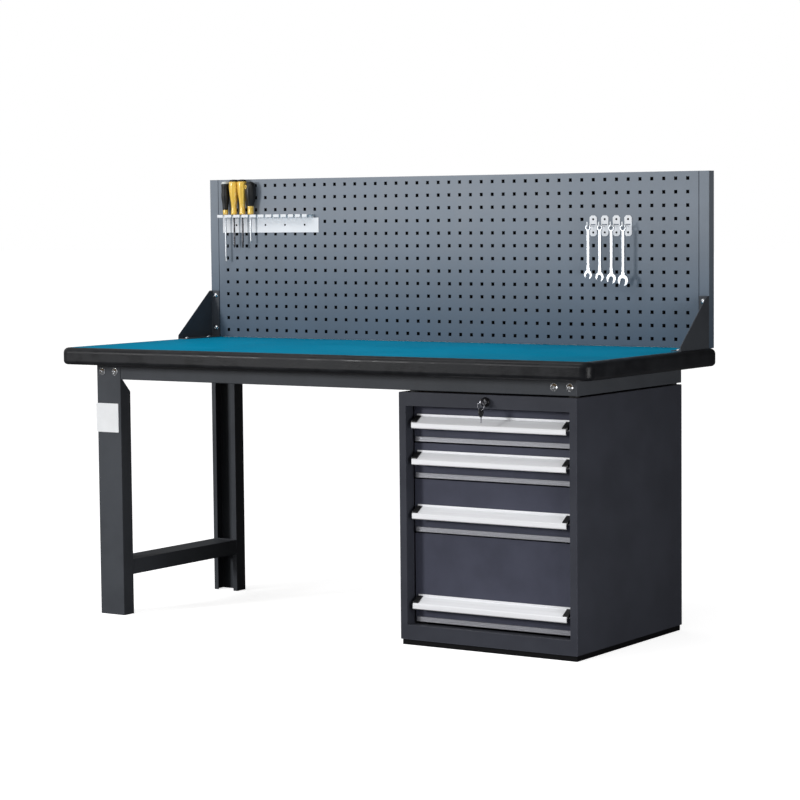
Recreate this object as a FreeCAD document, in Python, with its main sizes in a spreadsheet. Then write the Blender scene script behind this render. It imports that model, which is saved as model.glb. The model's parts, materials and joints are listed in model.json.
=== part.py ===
import FreeCAD, Part
import math
import os
import Sketcher
from FreeCAD import Rotation, Vector

# Steel workbench with a worktop on a beam frame, one leg frame on the left, a
# cabinet with four drawers on the right and a perforated back panel for tools.
# Millimetres. Origin: floor level, under the middle of the worktop.
# X runs to the right (cabinet side), Y to the back, Z up.

SIZES = {
    # worktop
    "top_length": 1800, "top_depth": 750, "top_thickness": 50, "mat_thickness": 2,
    "edging_width": 22, "top_corner_radius": 30, "edging_round_top": 15, "edging_round_bottom": 12,
    "side_overhang": 80, "front_overhang": 75,
    # frame of beams under the worktop
    "beam_height": 45, "beam_width": 40, "beam_wall": 2, "bend_radius": 2,
    "tab_wall": 3, "tab_clearance": 1, "tab_length": 88,
    # leg frame
    "leg_width": 90, "leg_depth": 45, "leg_wall": 2, "leg_lip": 15,
    "leg_neck_depth": 10, "leg_neck_drop": 38,
    "rail_bottom": 118, "rail_height": 45,
    "label_width": 84, "label_height": 86, "label_bottom": 547, "label_thickness": 1.5, "label_overlap": 3,
    # frame bolts
    "bolt_spacing": 48, "bolt_shank_radius": 4, "bolt_hole_clearance": 0.3, "bolt_head_radius": 9.5,
    "bolt_head_height": 5, "bolt_socket_radius": 3.5, "bolt_socket_depth": 3, "bolt_washer_radius": 10.5,
    "bolt_washer_height": 1.5, "nut_radius": 7.5, "nut_height": 6.5,
    # cabinet
    "cabinet_width": 560, "cabinet_wall": 1.5, "base_height": 15, "base_inset": 4, "base_wall": 2,
    "bottom_rail": 41, "top_rail": 38, "stile_width": 22, "front_frame_depth": 38, "frame_wall": 1.5,
    "spacer_height": 5, "spacer_radius": 14,
    "upright_width": 40, "upright_wall": 1.5, "upright_setback": 65, "upright_top_gap": 44,
    # drawers, numbered from the top
    "front_height_1": 95, "front_height_2": 95, "front_height_3": 145, "front_height_4": 245,
    "drawer_gap": 5, "lowest_gap": 7, "highest_gap": 4, "front_side_gap": 3,
    "front_recess": 38, "front_pan_depth": 18, "front_wall": 1.5, "pan_edge_radius": 0.8,
    "box_wall": 1.2, "box_lift": 6, "box_drop": 16, "box_rear_gap": 44,
    # handles and trim strips
    "handle_end_gap": 9, "handle_lift": 37, "handle_height": 38, "handle_reach": 33,
    "handle_wall": 2, "handle_lip": 13, "handle_slope_top": 32, "handle_rib": 1, "handle_nose": 2.5,
    "cap_length": 17, "cap_wall": 2, "cap_plate": 2.5,
    "trim_height": 13, "trim_reach": 8, "trim_groove": 1.5,
    # telescopic runners
    "runner_height": 45, "runner_thickness": 13, "runner_wall": 1.4, "runner_gap": 0.6, "runner_lift": 30,
    # lock
    "lock_drop": 19, "lock_bezel_radius": 13, "lock_bezel_height": 7, "lock_body_radius": 10,
    "lock_body_depth": 32, "barrel_radius": 7, "barrel_gap": 0.05, "barrel_recess": 1,
    "lock_nut_wall": 3.5, "lock_nut_height": 5, "lock_hole_gap": 0.05, "bezel_taper": 3,
    "cam_reach": 10, "cam_wall": 2.5, "cam_width": 10,
    "pin_radius": 2, "pin_play": 0.4, "lost_motion": 2.1, "link_wall": 2.5, "link_height": 14,
    "link_drop": 6, "link_pin_inset": 3, "eye_side": 4, "eye_end": 3, "arm_drop": 9,
    "tab_left": 8, "tab_right": 7, "tab_low": 6, "tab_high": 9,
    "link_gap": 1.5, "bar_wall": 3, "bar_width": 16, "bar_setback": 108, "bar_inset": 2.5, "bar_bottom": 80,
    "finger_wall": 4, "finger_reach": 11.5, "finger_height": 20, "catch_reach": 10, "catch_length": 24,
    "catch_wall": 8.5, "catch_floor": 2, "catch_height": 10, "catch_above": 54, "finger_play": 3,
    "guide_height": 12, "guide_wall": 1.2, "guide_play": 0.4, "guide_margin": 2.5,
    # keys
    "key_wall": 2, "key_blade_height": 8, "key_blade_length": 20, "key_slot_gap": 0.2, "key_bow_height": 23,
    "key_bow_length": 24, "key_hole_radius": 2.6, "key_hole_inset": 5, "ring_radius": 10, "ring_wire": 0.7,
    "spare_blade_length": 17,
    # perforated panel
    "panel_height": 500, "panel_wall": 1.5, "panel_return": 25, "panel_cover_wall": 1, "panel_end_gap": 49,
    "panel_lift": 1, "hole_size": 10, "hole_pitch": 38, "hole_top_margin": 20, "hole_side_margin": 30,
    "hole_bottom_margin": 15,
    "post_gap": 2, "post_width": 31, "post_depth": 30, "post_wall": 2,
    "bracket_reach": 175, "bracket_height": 148, "bracket_wall": 2.5, "bracket_toe": 12,
    "bracket_bolt_high": 133, "bracket_bolt_low": 30, "bracket_bolt_front": 22, "bracket_bolt_back": 132,
    "small_bolt_radius": 8, "small_bolt_height": 5, "small_shank_radius": 3, "small_shank_length": 20,
    "small_bolt_offset": 2, "small_bolt_past": 6,
    "side_screw_radius": 5, "side_screw_height": 3, "side_screw_shank": 2.5, "side_screw_step": 190,
    # rack for screwdrivers
    "rack_length": 373, "rack_height": 57, "rack_wall": 1.5, "rack_reach": 31, "rack_inset": 18,
    "rack_drop": 111, "rack_lip": 9, "rack_bare_end": 20, "rack_notch": 11, "slot_width": 7, "slot_depth": 22,
    "slot_first": 25, "slot_first_pitch": 34, "slot_pitch_step": 0.85, "rack_hole_radius": 3.2,
    "rack_hole_drop": 33,
    # hooks and wrenches
    "hook_width": 24, "hook_height": 60, "hook_wall": 1.5, "hook_reach": 38, "hook_prong": 3.6,
    "hook_tip": 12, "hook_hole_radius": 3.2, "hook_corner": 6, "hook_columns_in": 8,
    "hook_window_edge": 4, "hook_window_low": 1.5, "hook_window_high": 5, "hook_play": 0.1,
    "wrench_wall": 5, "wrench_shank": 9, "wrench_stand_off": 3, "ring_wall": 3,
}

TOOL_ROWS_DOWN = 3.5            # hooks are centred between the fourth and the fifth row of holes
SLOT_COUNT = 12
HOOK_COUNT = 4
DRAWERS = (1, 2, 3, 4)
WRENCHES = (                    # length from ring centre to jaw tips, ring radius, jaw width
    (146, 8.5, 26),
    (152, 8.5, 27.5),
    (157, 9.5, 31),
    (163, 9.5, 33.5),
)
SCREWDRIVERS = (                # handle length, handle radius, shaft radius, shaft length below the shelf
    (106, 13, 3, 147),
    (111, 14.5, 3, 104),
    (111, 14.5, 3.2, 104),
    (103, 17, 3.2, 90),
)

RACK_HOLE_COLUMNS = (1, 4, 6, 8)
JAW_DROP, JAW_TILT, MOUTH_SHARE, MOUTH_DEPTH = 0.8, 15, 0.45, 1.5    # wrench jaws, in jaw radii and degrees
NECK_SHARE, NECK_LENGTH = 0.62, 0.3                                  # screwdriver necks, in handle sizes
CROWN_SHARE, CROWN_LENGTH = 0.7, 0.5                                 # the rounded ends of their handles
SLOPE_ANGLE, SLOPE_LENGTH = 45, 2 ** 0.5                             # the lock bar's sloping slot

os.makedirs("parts", exist_ok=True)
doc = FreeCAD.newDocument("workbench")
sheet = doc.addObject("Spreadsheet::Sheet", "sizes")
for row, (name, value) in enumerate(SIZES.items(), start=1):
    sheet.set("A%d" % row, name)
    sheet.set("B%d" % row, str(value))
    sheet.setAlias("B%d" % row, name)
doc.recompute()

NODES = []


# ---------------------------------------------------------------- helpers
class Size(str):
    """An expression on the sheet that adds, subtracts and scales like a number."""

    def __add__(self, other):
        return Size("(%s + %s)" % (self, other))

    def __radd__(self, other):
        return Size("(%s + %s)" % (other, self))

    def __sub__(self, other):
        return Size("(%s - %s)" % (self, other))

    def __rsub__(self, other):
        return Size("(%s - %s)" % (other, self))

    def __mul__(self, other):
        return Size("(%s * %s)" % (self, other))

    def __rmul__(self, other):
        return Size("(%s * %s)" % (other, self))

    def __truediv__(self, other):
        return Size("(%s / %s)" % (self, other))

    def __neg__(self):
        return Size("(0 - %s)" % self)


def size(name):
    """The expression for one named value."""
    return Size("sizes." + name)


def number(expression):
    """What an expression comes to now, for sketches' first guesses and for plain shapes."""
    value = sheet.evalExpression(str(expression))
    return float(getattr(value, "Value", value))


def bind(thing, **expressions):
    """Binds properties of an object to expressions; x, y and z bind its place."""
    for name, expression in expressions.items():
        path = "Placement.Base." + name if name in ("x", "y", "z") else name
        thing.setExpression(path, str(expression))
    return thing


def block(x_low, x_high, y_low, y_high, z_low, z_high):
    """A box between six planes, each given by an expression."""
    box = doc.addObject("Part::Box", "block")
    return bind(box, x=x_low, y=y_low, z=z_low, Length=Size(x_high) - x_low,
                Width=Size(y_high) - y_low, Height=Size(z_high) - z_low)


AXIS_TURNS = {
    "x": Rotation(Vector(0, 0, 1), Vector(1, 0, 0)),
    "y": Rotation(Vector(0, 0, 1), Vector(0, 1, 0)),
    "z": Rotation(),
    "-y": Rotation(Vector(0, 0, 1), Vector(0, -1, 0)),
    "-x": Rotation(Vector(0, 0, 1), Vector(-1, 0, 0)),
    "-z": Rotation(Vector(0, 0, 1), Vector(0, 0, -1)),
}


def rod(axis, x, y, z, radius, length):
    """A cylinder that starts at a point and runs along an axis."""
    cylinder = doc.addObject("Part::Cylinder", "rod")
    cylinder.Placement.Rotation = AXIS_TURNS[axis]
    return bind(cylinder, x=x, y=y, z=z, Radius=radius, Height=length)


def hexagon(axis, x, y, z, radius, length):
    """A hexagonal prism that starts at a point and runs along an axis."""
    prism = doc.addObject("Part::Prism", "hexagon")
    prism.Polygon = 6
    prism.Placement.Rotation = AXIS_TURNS[axis]
    return bind(prism, x=x, y=y, z=z, Circumradius=radius, Height=length)


def cut(base, *tools):
    """The base with every tool taken out of it."""
    result = doc.addObject("Part::Cut", "cut")
    result.Base = base
    result.Tool = tools[0] if len(tools) == 1 else fuse(*tools)
    return result


def fuse(*pieces):
    """One solid from pieces that meet."""
    result = doc.addObject("Part::MultiFuse", "fuse")
    result.Shapes = list(pieces)
    result.Refine = True
    return result


def common(first, second):
    """What two shapes share."""
    result = doc.addObject("Part::MultiCommon", "common")
    result.Shapes = [first, second]
    return result


def group(*pieces):
    """Separate solids that share one node."""
    result = doc.addObject("Part::Compound", "group")
    result.Links = list(pieces)
    return result


def node(thing, label):
    """Makes an object one of the part's sub-parts."""
    thing.Label = label
    NODES.append(thing)
    return thing


def origin_plane(body, role):
    return next(plane for plane in body.Origin.OriginFeatures if plane.Role == role)


def outline_sketch(body, role, points):
    """A closed sketch of straight lines whose corners are bound to expressions."""
    sketch = body.newObject("Sketcher::SketchObject", "outline")
    sketch.AttachmentSupport = (origin_plane(body, role), [""])
    sketch.MapMode = "FlatFace"
    corners = [Vector(number(across), number(up), 0) for across, up in points]
    count = len(corners)
    sketch.addGeometry([Part.LineSegment(corners[i], corners[(i + 1) % count]) for i in range(count)], False)
    rules = [Sketcher.Constraint("Coincident", i, 2, (i + 1) % count, 1) for i in range(count)]
    for i, corner in enumerate(corners):
        rules.append(Sketcher.Constraint("DistanceX", -1, 1, i, 1, corner.x))
        rules.append(Sketcher.Constraint("DistanceY", -1, 1, i, 1, corner.y))
    sketch.addConstraint(rules)
    for i, (across, up) in enumerate(points):
        sketch.setExpression("Constraints[%d]" % (count + 2 * i), str(across))
        sketch.setExpression("Constraints[%d]" % (count + 2 * i + 1), str(up))
    return sketch


def profile(role, points, length, x=0, y=0, z=0):
    """A body padded from an outline: YZ_Plane pads to +X, XZ_Plane to -Y, XY_Plane to +Z."""
    body = doc.addObject("PartDesign::Body", "profile")
    pad = body.newObject("PartDesign::Pad", "pad")
    pad.Profile = outline_sketch(body, role, points)
    pad.setExpression("Length", str(length))
    body.Tip = pad
    bind(body, x=x, y=y, z=z)
    doc.recompute()
    return body


def rounded(body, radius, chosen):
    """Rounds the chosen edges of a body with a radius from the sheet."""
    edges = ["Edge%d" % (i + 1) for i, edge in enumerate(body.Tip.Shape.Edges) if chosen(edge)]
    last = body.Tip
    fillet = body.newObject("PartDesign::Fillet", "rounding")
    fillet.Base = (last, edges)
    fillet.setExpression("Radius", str(radius))
    body.Tip = fillet
    doc.recompute()
    return body


def runs_along(edge, axis):
    """Whether a straight edge runs along x, y or z."""
    if edge.Curve.TypeId != "Part::GeomLine":
        return False
    return abs(abs(getattr(edge.Curve.Direction, axis)) - 1) < 1e-6


def lies_at(edge, axis, value):
    """Whether both ends of an edge lie at one value of x, y or z."""
    return all(abs(getattr(vertex.Point, axis) - value) < 1e-4 for vertex in edge.Vertexes)


def mirrored(points):
    """The same outline with its first coordinate turned round."""
    return [(-Size(across), up) for across, up in points]


# ---------------------------------------------------------------- heights and planes
HALF_LENGTH = size("top_length") / 2
HALF_DEPTH = size("top_depth") / 2
FRAME_LEFT = size("side_overhang") - HALF_LENGTH
FRAME_RIGHT = HALF_LENGTH - size("side_overhang")
FRAME_FRONT = size("front_overhang") - HALF_DEPTH
FRAME_BACK = HALF_DEPTH - size("front_overhang")

CABINET_LEFT = FRAME_RIGHT - size("cabinet_width")
OPENING_LEFT = CABINET_LEFT + size("stile_width")
OPENING_RIGHT = FRAME_RIGHT - size("stile_width")
OPENING_BOTTOM = size("base_height") + size("bottom_rail")

front_bottoms = {}
level = OPENING_BOTTOM + size("lowest_gap")
for drawer in reversed(DRAWERS):
    front_bottoms[drawer] = level
    level = level + size("front_height_%d" % drawer)
    if drawer != DRAWERS[0]:
        level = level + size("drawer_gap")
OPENING_TOP = level + size("highest_gap")
CABINET_TOP = OPENING_TOP + size("top_rail")
BEAM_BOTTOM = CABINET_TOP + size("spacer_height")
TOP_UNDERSIDE = BEAM_BOTTOM + size("beam_height")
TOP_SURFACE = TOP_UNDERSIDE + size("top_thickness")

BEAM_FRONT = FRAME_FRONT + size("leg_wall")
BEAM_BACK = FRAME_BACK - size("leg_wall")
BOLT_LEVEL = BEAM_BOTTOM + size("beam_height") / 2
LEG_MIDDLE = FRAME_LEFT + size("leg_width") / 2
BOLT_PLACES = [LEG_MIDDLE - size("bolt_spacing") / 2, LEG_MIDDLE + size("bolt_spacing") / 2,
               -LEG_MIDDLE - size("bolt_spacing") / 2, -LEG_MIDDLE + size("bolt_spacing") / 2]

PANEL_FRONT = HALF_DEPTH - size("post_depth")
PANEL_RIGHT = HALF_LENGTH - size("panel_end_gap")
POST_INNER = PANEL_RIGHT + size("post_gap")
POST_OUTER = POST_INNER + size("post_width")
BRACKET_FRONT = PANEL_FRONT - size("bracket_reach")
SMALL_BOLT_X = POST_INNER + size("post_width") / 2 - size("small_bolt_offset")


# ---------------------------------------------------------------- fasteners
def domed_bolt(axis, x, y, z, shank_length, head_radius, head_height, shank_radius, washer=0):
    """A button-head bolt: the head stands away from the face, the shank goes in along the axis."""
    back = {"y": "-y", "-z": "z", "-y": "y", "x": "-x", "-x": "x"}[axis]
    sphere_radius = (head_radius * head_radius + head_height * head_height) / (2 * head_height)
    place = {"x": x, "y": y, "z": z}
    letter = axis[-1]
    sign = -1 if axis.startswith("-") else 1
    head_place = dict(place)
    head_place[letter] = Size(place[letter]) - sign * Size(washer)
    ball_place = dict(head_place)
    ball_place[letter] = Size(head_place[letter]) + sign * (sphere_radius - head_height)
    ball = doc.addObject("Part::Sphere", "ball")
    bind(ball, Radius=sphere_radius, **ball_place)
    head = common(ball, rod(back, radius=head_radius, length=head_height * 1.2, **head_place))
    socket_place = dict(head_place)
    socket_place[letter] = Size(head_place[letter]) - sign * (head_height - size("bolt_socket_depth"))
    socket = hexagon(back, radius=size("bolt_socket_radius"), length=size("bolt_socket_depth") * 2,
                     **socket_place)
    pieces = [cut(head, socket), rod(axis, radius=shank_radius, length=shank_length, **place)]
    if washer:
        pieces.append(rod(back, radius=size("bolt_washer_radius"), length=washer, **place))
        inner = dict(place)
        inner[letter] = Size(place[letter]) - sign * Size(washer)
        pieces.append(rod(axis, radius=shank_radius, length=washer, **inner))
    return fuse(*pieces)


# ---------------------------------------------------------------- worktop
def plate(half_x, half_y, z_low, height, corner_radius):
    """A flat plate about the middle of the bench with rounded corners."""
    body = profile("XY_Plane", [(-half_x, -half_y), (half_x, -half_y), (half_x, half_y), (-half_x, half_y)],
                   height, z=z_low)
    return rounded(body, corner_radius, lambda edge: runs_along(edge, "z"))


def make_worktop():
    inner_x = HALF_LENGTH - size("edging_width")
    inner_y = HALF_DEPTH - size("edging_width")
    inner_radius = size("top_corner_radius") - size("edging_width")
    board_height = size("top_thickness") - size("mat_thickness")
    board = plate(inner_x, inner_y, TOP_UNDERSIDE, board_height, inner_radius)
    mat = plate(inner_x, inner_y, TOP_SURFACE - size("mat_thickness"), size("mat_thickness"), inner_radius)
    edging = plate(HALF_LENGTH, HALF_DEPTH, TOP_UNDERSIDE, size("top_thickness"), size("top_corner_radius"))
    thickness = number(size("top_thickness"))
    rounded(edging, size("edging_round_top"), lambda edge: lies_at(edge, "z", thickness))
    rounded(edging, size("edging_round_bottom"), lambda edge: lies_at(edge, "z", 0))
    window = plate(inner_x, inner_y, TOP_UNDERSIDE - 1, size("top_thickness") + 2, inner_radius)
    wood_holes = []
    for side in (-1, 1):
        for back in ("bracket_bolt_front", "bracket_bolt_back"):
            wood_holes.append(rod("-z", side * SMALL_BOLT_X, BRACKET_FRONT + size(back), TOP_SURFACE + 1,
                                  size("small_shank_radius") + size("bolt_hole_clearance"),
                                  size("small_shank_length") + 2))
    holes = group(*wood_holes)
    node(cut(board, holes), "worktop_board")
    node(cut(mat, holes), "worktop_mat")
    node(cut(edging, window), "worktop_edging")


# ---------------------------------------------------------------- beams and legs
def frame_bolt_holes(y_start, through, places):
    radius = size("bolt_shank_radius") + size("bolt_hole_clearance")
    return [rod("y", x, y_start - 1, BOLT_LEVEL, radius, through + 2) for x in places]


def make_long_beam(label, face, inward):
    """A channel along the bench: its web is the outer face and its flanges point inwards."""
    wall = size("beam_wall")
    tall = size("beam_height")
    wide = size("beam_width")
    across = [(0, 0), (wide, 0), (wide, wall), (wall, wall), (wall, tall - wall),
              (wide, tall - wall), (wide, tall), (0, tall)]
    points = [(inward * Size(y), z) for y, z in across]
    left = FRAME_LEFT + size("leg_wall") + wall
    beam = profile("YZ_Plane", points, FRAME_RIGHT - wall - left, x=left, y=face, z=BEAM_BOTTOM)
    middle = number(size("beam_height")) / 2
    rounded(beam, size("bend_radius"),
            lambda edge: runs_along(edge, "x") and lies_at(edge, "y", 0)
            and abs(abs(edge.Vertexes[0].Z - middle) - middle) < 1e-4)
    start = face if inward > 0 else face - wall
    node(cut(beam, *frame_bolt_holes(start, wall, BOLT_PLACES)), label)


def make_end_beam(outer, inward):
    """A channel from front to back with a bolting tab at each end inside the long beams."""
    wall = size("beam_wall")
    tab_low = BEAM_BOTTOM + wall + size("tab_clearance")
    tab_high = TOP_UNDERSIDE - wall - size("tab_clearance")
    inner_front = BEAM_FRONT + wall
    inner_back = BEAM_BACK - wall

    def slab(depth_low, depth_high, y_low, y_high, z_low, z_high):
        if inward > 0:
            return block(outer + depth_low, outer + depth_high, y_low, y_high, z_low, z_high)
        return block(outer - depth_high, outer - depth_low, y_low, y_high, z_low, z_high)

    flange_front = BEAM_FRONT + size("beam_width")
    flange_back = BEAM_BACK - size("beam_width")
    web = slab(Size("0"), wall, BEAM_FRONT, BEAM_BACK, BEAM_BOTTOM, TOP_UNDERSIDE)
    low = slab(wall, size("beam_width"), flange_front, flange_back, BEAM_BOTTOM, BEAM_BOTTOM + wall)
    high = slab(wall, size("beam_width"), flange_front, flange_back, TOP_UNDERSIDE - wall, TOP_UNDERSIDE)
    front_tab = slab(wall, size("tab_length"), inner_front, inner_front + size("tab_wall"), tab_low, tab_high)
    back_tab = slab(wall, size("tab_length"), inner_back - size("tab_wall"), inner_back, tab_low, tab_high)
    solid = fuse(web, low, high, front_tab, back_tab)
    places = BOLT_PLACES[:2] if inward > 0 else BOLT_PLACES[2:]
    holes = frame_bolt_holes(inner_front, size("tab_wall"), places)
    holes += frame_bolt_holes(inner_back - size("tab_wall"), size("tab_wall"), places)
    return cut(solid, *holes)


def make_leg(label, face, inward):
    """A lipped channel that opens towards the middle, cut back under the beam on its inner side."""
    wide = size("leg_width")
    deep = size("leg_depth")
    wall = size("leg_wall")
    lip = size("leg_lip")
    across = [(0, 0), (wide, 0), (wide, deep), (wide - lip, deep), (wide - lip, deep - wall),
              (wide - wall, deep - wall), (wide - wall, wall), (wall, wall), (wall, deep - wall),
              (lip, deep - wall), (lip, deep), (0, deep)]
    leg = profile("XY_Plane", [(x, inward * Size(y)) for x, y in across], TOP_UNDERSIDE, x=FRAME_LEFT, y=face)
    rounded(leg, size("bend_radius"),
            lambda edge: runs_along(edge, "z") and lies_at(edge, "y", 0))
    back_of_web = face + inward * wall
    past_lip = face + inward * (deep + 1)
    y_low, y_high = (back_of_web, past_lip) if inward > 0 else (past_lip, back_of_web)
    room = block(FRAME_LEFT + wall, FRAME_LEFT + wide + 1, y_low, y_high, BEAM_BOTTOM, TOP_UNDERSIDE + 1)
    neck = [(inward * size("leg_neck_depth"), BEAM_BOTTOM + 1), (inward * (deep + 1), BEAM_BOTTOM + 1),
            (inward * (deep + 1), BEAM_BOTTOM - size("leg_neck_drop") - 1),
            (inward * deep, BEAM_BOTTOM - size("leg_neck_drop")),
            (inward * size("leg_neck_depth"), BEAM_BOTTOM)]
    slope = profile("YZ_Plane", neck, lip + 2, x=FRAME_LEFT + wide - lip - 1, y=face)
    start = face if inward > 0 else face - wall
    node(cut(leg, room, slope, *frame_bolt_holes(start, wall, BOLT_PLACES[:2])), label)


def make_leg_rail():
    """A channel, open below, welded between the lips of the two legs."""
    wall = size("leg_wall")
    left = FRAME_LEFT + wall
    right = FRAME_LEFT + size("leg_width") - wall
    front = FRAME_FRONT + size("leg_depth")
    back = FRAME_BACK - size("leg_depth")
    low = size("rail_bottom")
    high = low + size("rail_height")
    outer = block(left, right, front, back, low, high)
    inner = block(left + wall, right - wall, front - 1, back + 1, low - 1, high - wall)
    node(cut(outer, inner), "leg_cross_rail")


def make_label_plate():
    left = FRAME_LEFT - size("label_overlap")
    plate_box = profile("XZ_Plane", [(0, 0), (size("label_width"), 0),
                                     (size("label_width"), size("label_height")), (0, size("label_height"))],
                        size("label_thickness"), x=left, y=FRAME_FRONT, z=size("label_bottom"))
    rounded(plate_box, size("bend_radius"), lambda edge: runs_along(edge, "y"))
    node(plate_box, "label_plate")


def make_frame_bolts():
    wall = size("beam_wall")
    bolts = []
    for index, x in enumerate(BOLT_PLACES):
        left_side = index < 2
        front_face = FRAME_FRONT if left_side else BEAM_FRONT
        back_face = FRAME_BACK if left_side else BEAM_BACK
        grip = wall + size("tab_wall")
        if left_side:
            grip = grip + size("leg_wall")
        for axis, face in (("y", front_face), ("-y", back_face)):
            sign = 1 if axis == "y" else -1
            bolt = domed_bolt(axis, x, face, BOLT_LEVEL, grip + size("nut_height"), size("bolt_head_radius"),
                              size("bolt_head_height"), size("bolt_shank_radius"), size("bolt_washer_height"))
            nut = hexagon(axis, x, face + sign * grip, BOLT_LEVEL, size("nut_radius"), size("nut_height"))
            bolts.append(fuse(bolt, nut))
    node(group(*bolts), "frame_bolts")


# ---------------------------------------------------------------- cabinet
def make_cabinet():
    wall = size("cabinet_wall")
    inset = size("base_inset")
    outer = profile("XZ_Plane", [(0, 0), (size("cabinet_width"), 0),
                                 (size("cabinet_width"), CABINET_TOP - size("base_height")),
                                 (0, CABINET_TOP - size("base_height"))],
                    FRAME_BACK - FRAME_FRONT, x=CABINET_LEFT, y=FRAME_BACK, z=size("base_height"))
    rounded(outer, size("bend_radius"), lambda edge: runs_along(edge, "y"))
    cavity = block(CABINET_LEFT + wall, FRAME_RIGHT - wall, FRAME_FRONT - 1, FRAME_BACK - wall,
                   size("base_height") + wall, CABINET_TOP - wall)
    node(cut(outer, cavity), "cabinet_shell")

    base_outer = block(CABINET_LEFT + inset, FRAME_RIGHT - inset, FRAME_FRONT + inset, FRAME_BACK - inset,
                       Size("0"), size("base_height"))
    base_wall = size("base_wall")
    base_inner = block(CABINET_LEFT + inset + base_wall, FRAME_RIGHT - inset - base_wall,
                       FRAME_FRONT + inset + base_wall, FRAME_BACK - inset - base_wall,
                       base_wall, size("base_height") + 1)
    node(cut(base_outer, base_inner), "cabinet_base")

    ring_left = CABINET_LEFT + wall
    ring_right = FRAME_RIGHT - wall
    ring_low = size("base_height") + wall
    ring_high = CABINET_TOP - wall
    ring_back = FRAME_FRONT + size("front_frame_depth")
    sheet_wall = size("frame_wall")
    ring = cut(block(ring_left, ring_right, FRAME_FRONT, ring_back, ring_low, ring_high),
               block(OPENING_LEFT, OPENING_RIGHT, FRAME_FRONT - 1, ring_back + 1,
                     OPENING_BOTTOM, OPENING_TOP))
    hollow = cut(block(ring_left + sheet_wall, ring_right - sheet_wall,
                       FRAME_FRONT + sheet_wall, ring_back + 1,
                       ring_low + sheet_wall, ring_high - sheet_wall),
                 block(OPENING_LEFT - sheet_wall, OPENING_RIGHT + sheet_wall, FRAME_FRONT, ring_back + 2,
                       OPENING_BOTTOM - sheet_wall, OPENING_TOP + sheet_wall))
    lock_hole = rod("y", LOCK_X, FRAME_FRONT - 1, LOCK_Z, size("lock_body_radius") + size("lock_hole_gap"),
                    sheet_wall + 2)
    node(cut(ring, hollow, lock_hole), "cabinet_front_frame")

    spacers = []
    for x in (CABINET_LEFT + size("beam_width"), FRAME_RIGHT - size("beam_width") / 2):
        for y in (BEAM_FRONT + size("beam_width") / 2, BEAM_BACK - size("beam_width") / 2):
            spacers.append(rod("z", x, y, CABINET_TOP, size("spacer_radius"), size("spacer_height")))
    node(group(*spacers), "cabinet_spacers")


def upright_channel(outer, inward, y_low):
    """A channel fixed to a cabinet side whose web carries the runners."""
    wall = size("upright_wall")
    deep = size("stile_width") - size("cabinet_wall")
    wide = size("upright_width")
    across = [(0, 0), (deep, 0), (deep, wide), (0, wide), (0, wide - wall), (deep - wall, wide - wall),
              (deep - wall, wall), (0, wall)]
    low = size("base_height") + size("cabinet_wall")
    return profile("XY_Plane", [(inward * Size(x), y) for x, y in across],
                   CABINET_TOP - size("upright_top_gap") - low, x=outer, y=y_low, z=low)


def make_uprights():
    left = CABINET_LEFT + size("cabinet_wall")
    right = FRAME_RIGHT - size("cabinet_wall")
    front = FRAME_FRONT + size("upright_setback")
    back = FRAME_BACK - size("upright_setback") - size("upright_width")
    posts = []
    for y_low in (front, back):
        posts.append(upright_channel(left, 1, y_low))
        posts.append(upright_channel(right, -1, y_low))
    node(group(*posts, *make_bar_guides()), "cabinet_uprights")


# ---------------------------------------------------------------- drawers
FACE = FRAME_FRONT + size("front_recess")
PAN_BACK = FACE + size("front_pan_depth")
BOX_BACK = FRAME_BACK - size("box_rear_gap")
BOX_LEFT = OPENING_LEFT + size("runner_thickness")
BOX_RIGHT = OPENING_RIGHT - size("runner_thickness")
BOX_DEPTH = BOX_BACK - PAN_BACK
HANDLE_LEFT = OPENING_LEFT + size("front_side_gap") + size("handle_end_gap")
HANDLE_RIGHT = OPENING_RIGHT - size("front_side_gap") - size("handle_end_gap")
HANDLE_LENGTH = HANDLE_RIGHT - HANDLE_LEFT
LOCK_X = (CABINET_LEFT + FRAME_RIGHT) / 2
LOCK_Z = CABINET_TOP - size("lock_drop")

FINGER_Y = FRAME_FRONT + size("bar_setback") + size("bar_width") / 2


def box_bottom(drawer):
    return front_bottoms[drawer] + size("box_lift")


def handle_outline():
    """The handle's section: a flange on the drawer front, a sloping face and a hooked lip.

    The first value is the distance forward of the drawer front, the second the height.
    """
    wall = size("handle_wall")
    reach = size("handle_reach")
    tall = size("handle_height")
    lip = size("handle_lip")
    slope = size("handle_slope_top")
    rib = size("handle_rib")
    nose = size("handle_nose")
    return [
        (0, tall), (wall + 1, tall), (wall + 1, slope + 2), (wall, slope + 1), (wall, slope),
        (wall + 2, slope), (reach - 4, lip + 2.5), (reach - 2.5, lip + 2.5 + rib), (reach, lip + 1),
        (reach, nose), (reach - 1, 1), (reach - nose, 0), (reach - 5, 0), (reach - 5, wall),
        (reach - wall - 1, wall), (reach - wall, wall + 1), (reach - wall, lip - 1),
        (reach - wall - 2.5, lip), (wall + 1.5, slope - 3), (wall, slope - 3), (wall, 8), (0, 8),
    ]


def cap_outline():
    """The end cap's band on the sloping face."""
    wall = size("handle_wall")
    reach = size("handle_reach")
    slope = size("handle_slope_top")
    lip = size("handle_lip")
    thick = size("cap_wall")
    rise = size("handle_rib")
    return [(wall + 2, slope), (wall + 2.5, slope + thick), (reach - 5, lip + 3.5 + thick + rise),
            (reach - 5, lip + 3.2)]


def end_plate_outline():
    """The plate that closes the end of the handle above its lip."""
    wall = size("handle_wall")
    reach = size("handle_reach")
    slope = size("handle_slope_top")
    lip = size("handle_lip")
    thick = size("cap_wall")
    return [(0, slope - 3), (0, slope + thick), (wall + 2.5, slope + thick),
            (reach - 5, lip + 3.5 + thick + size("handle_rib")), (reach - 4, lip - 1), (reach - 9, lip - 1)]


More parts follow.
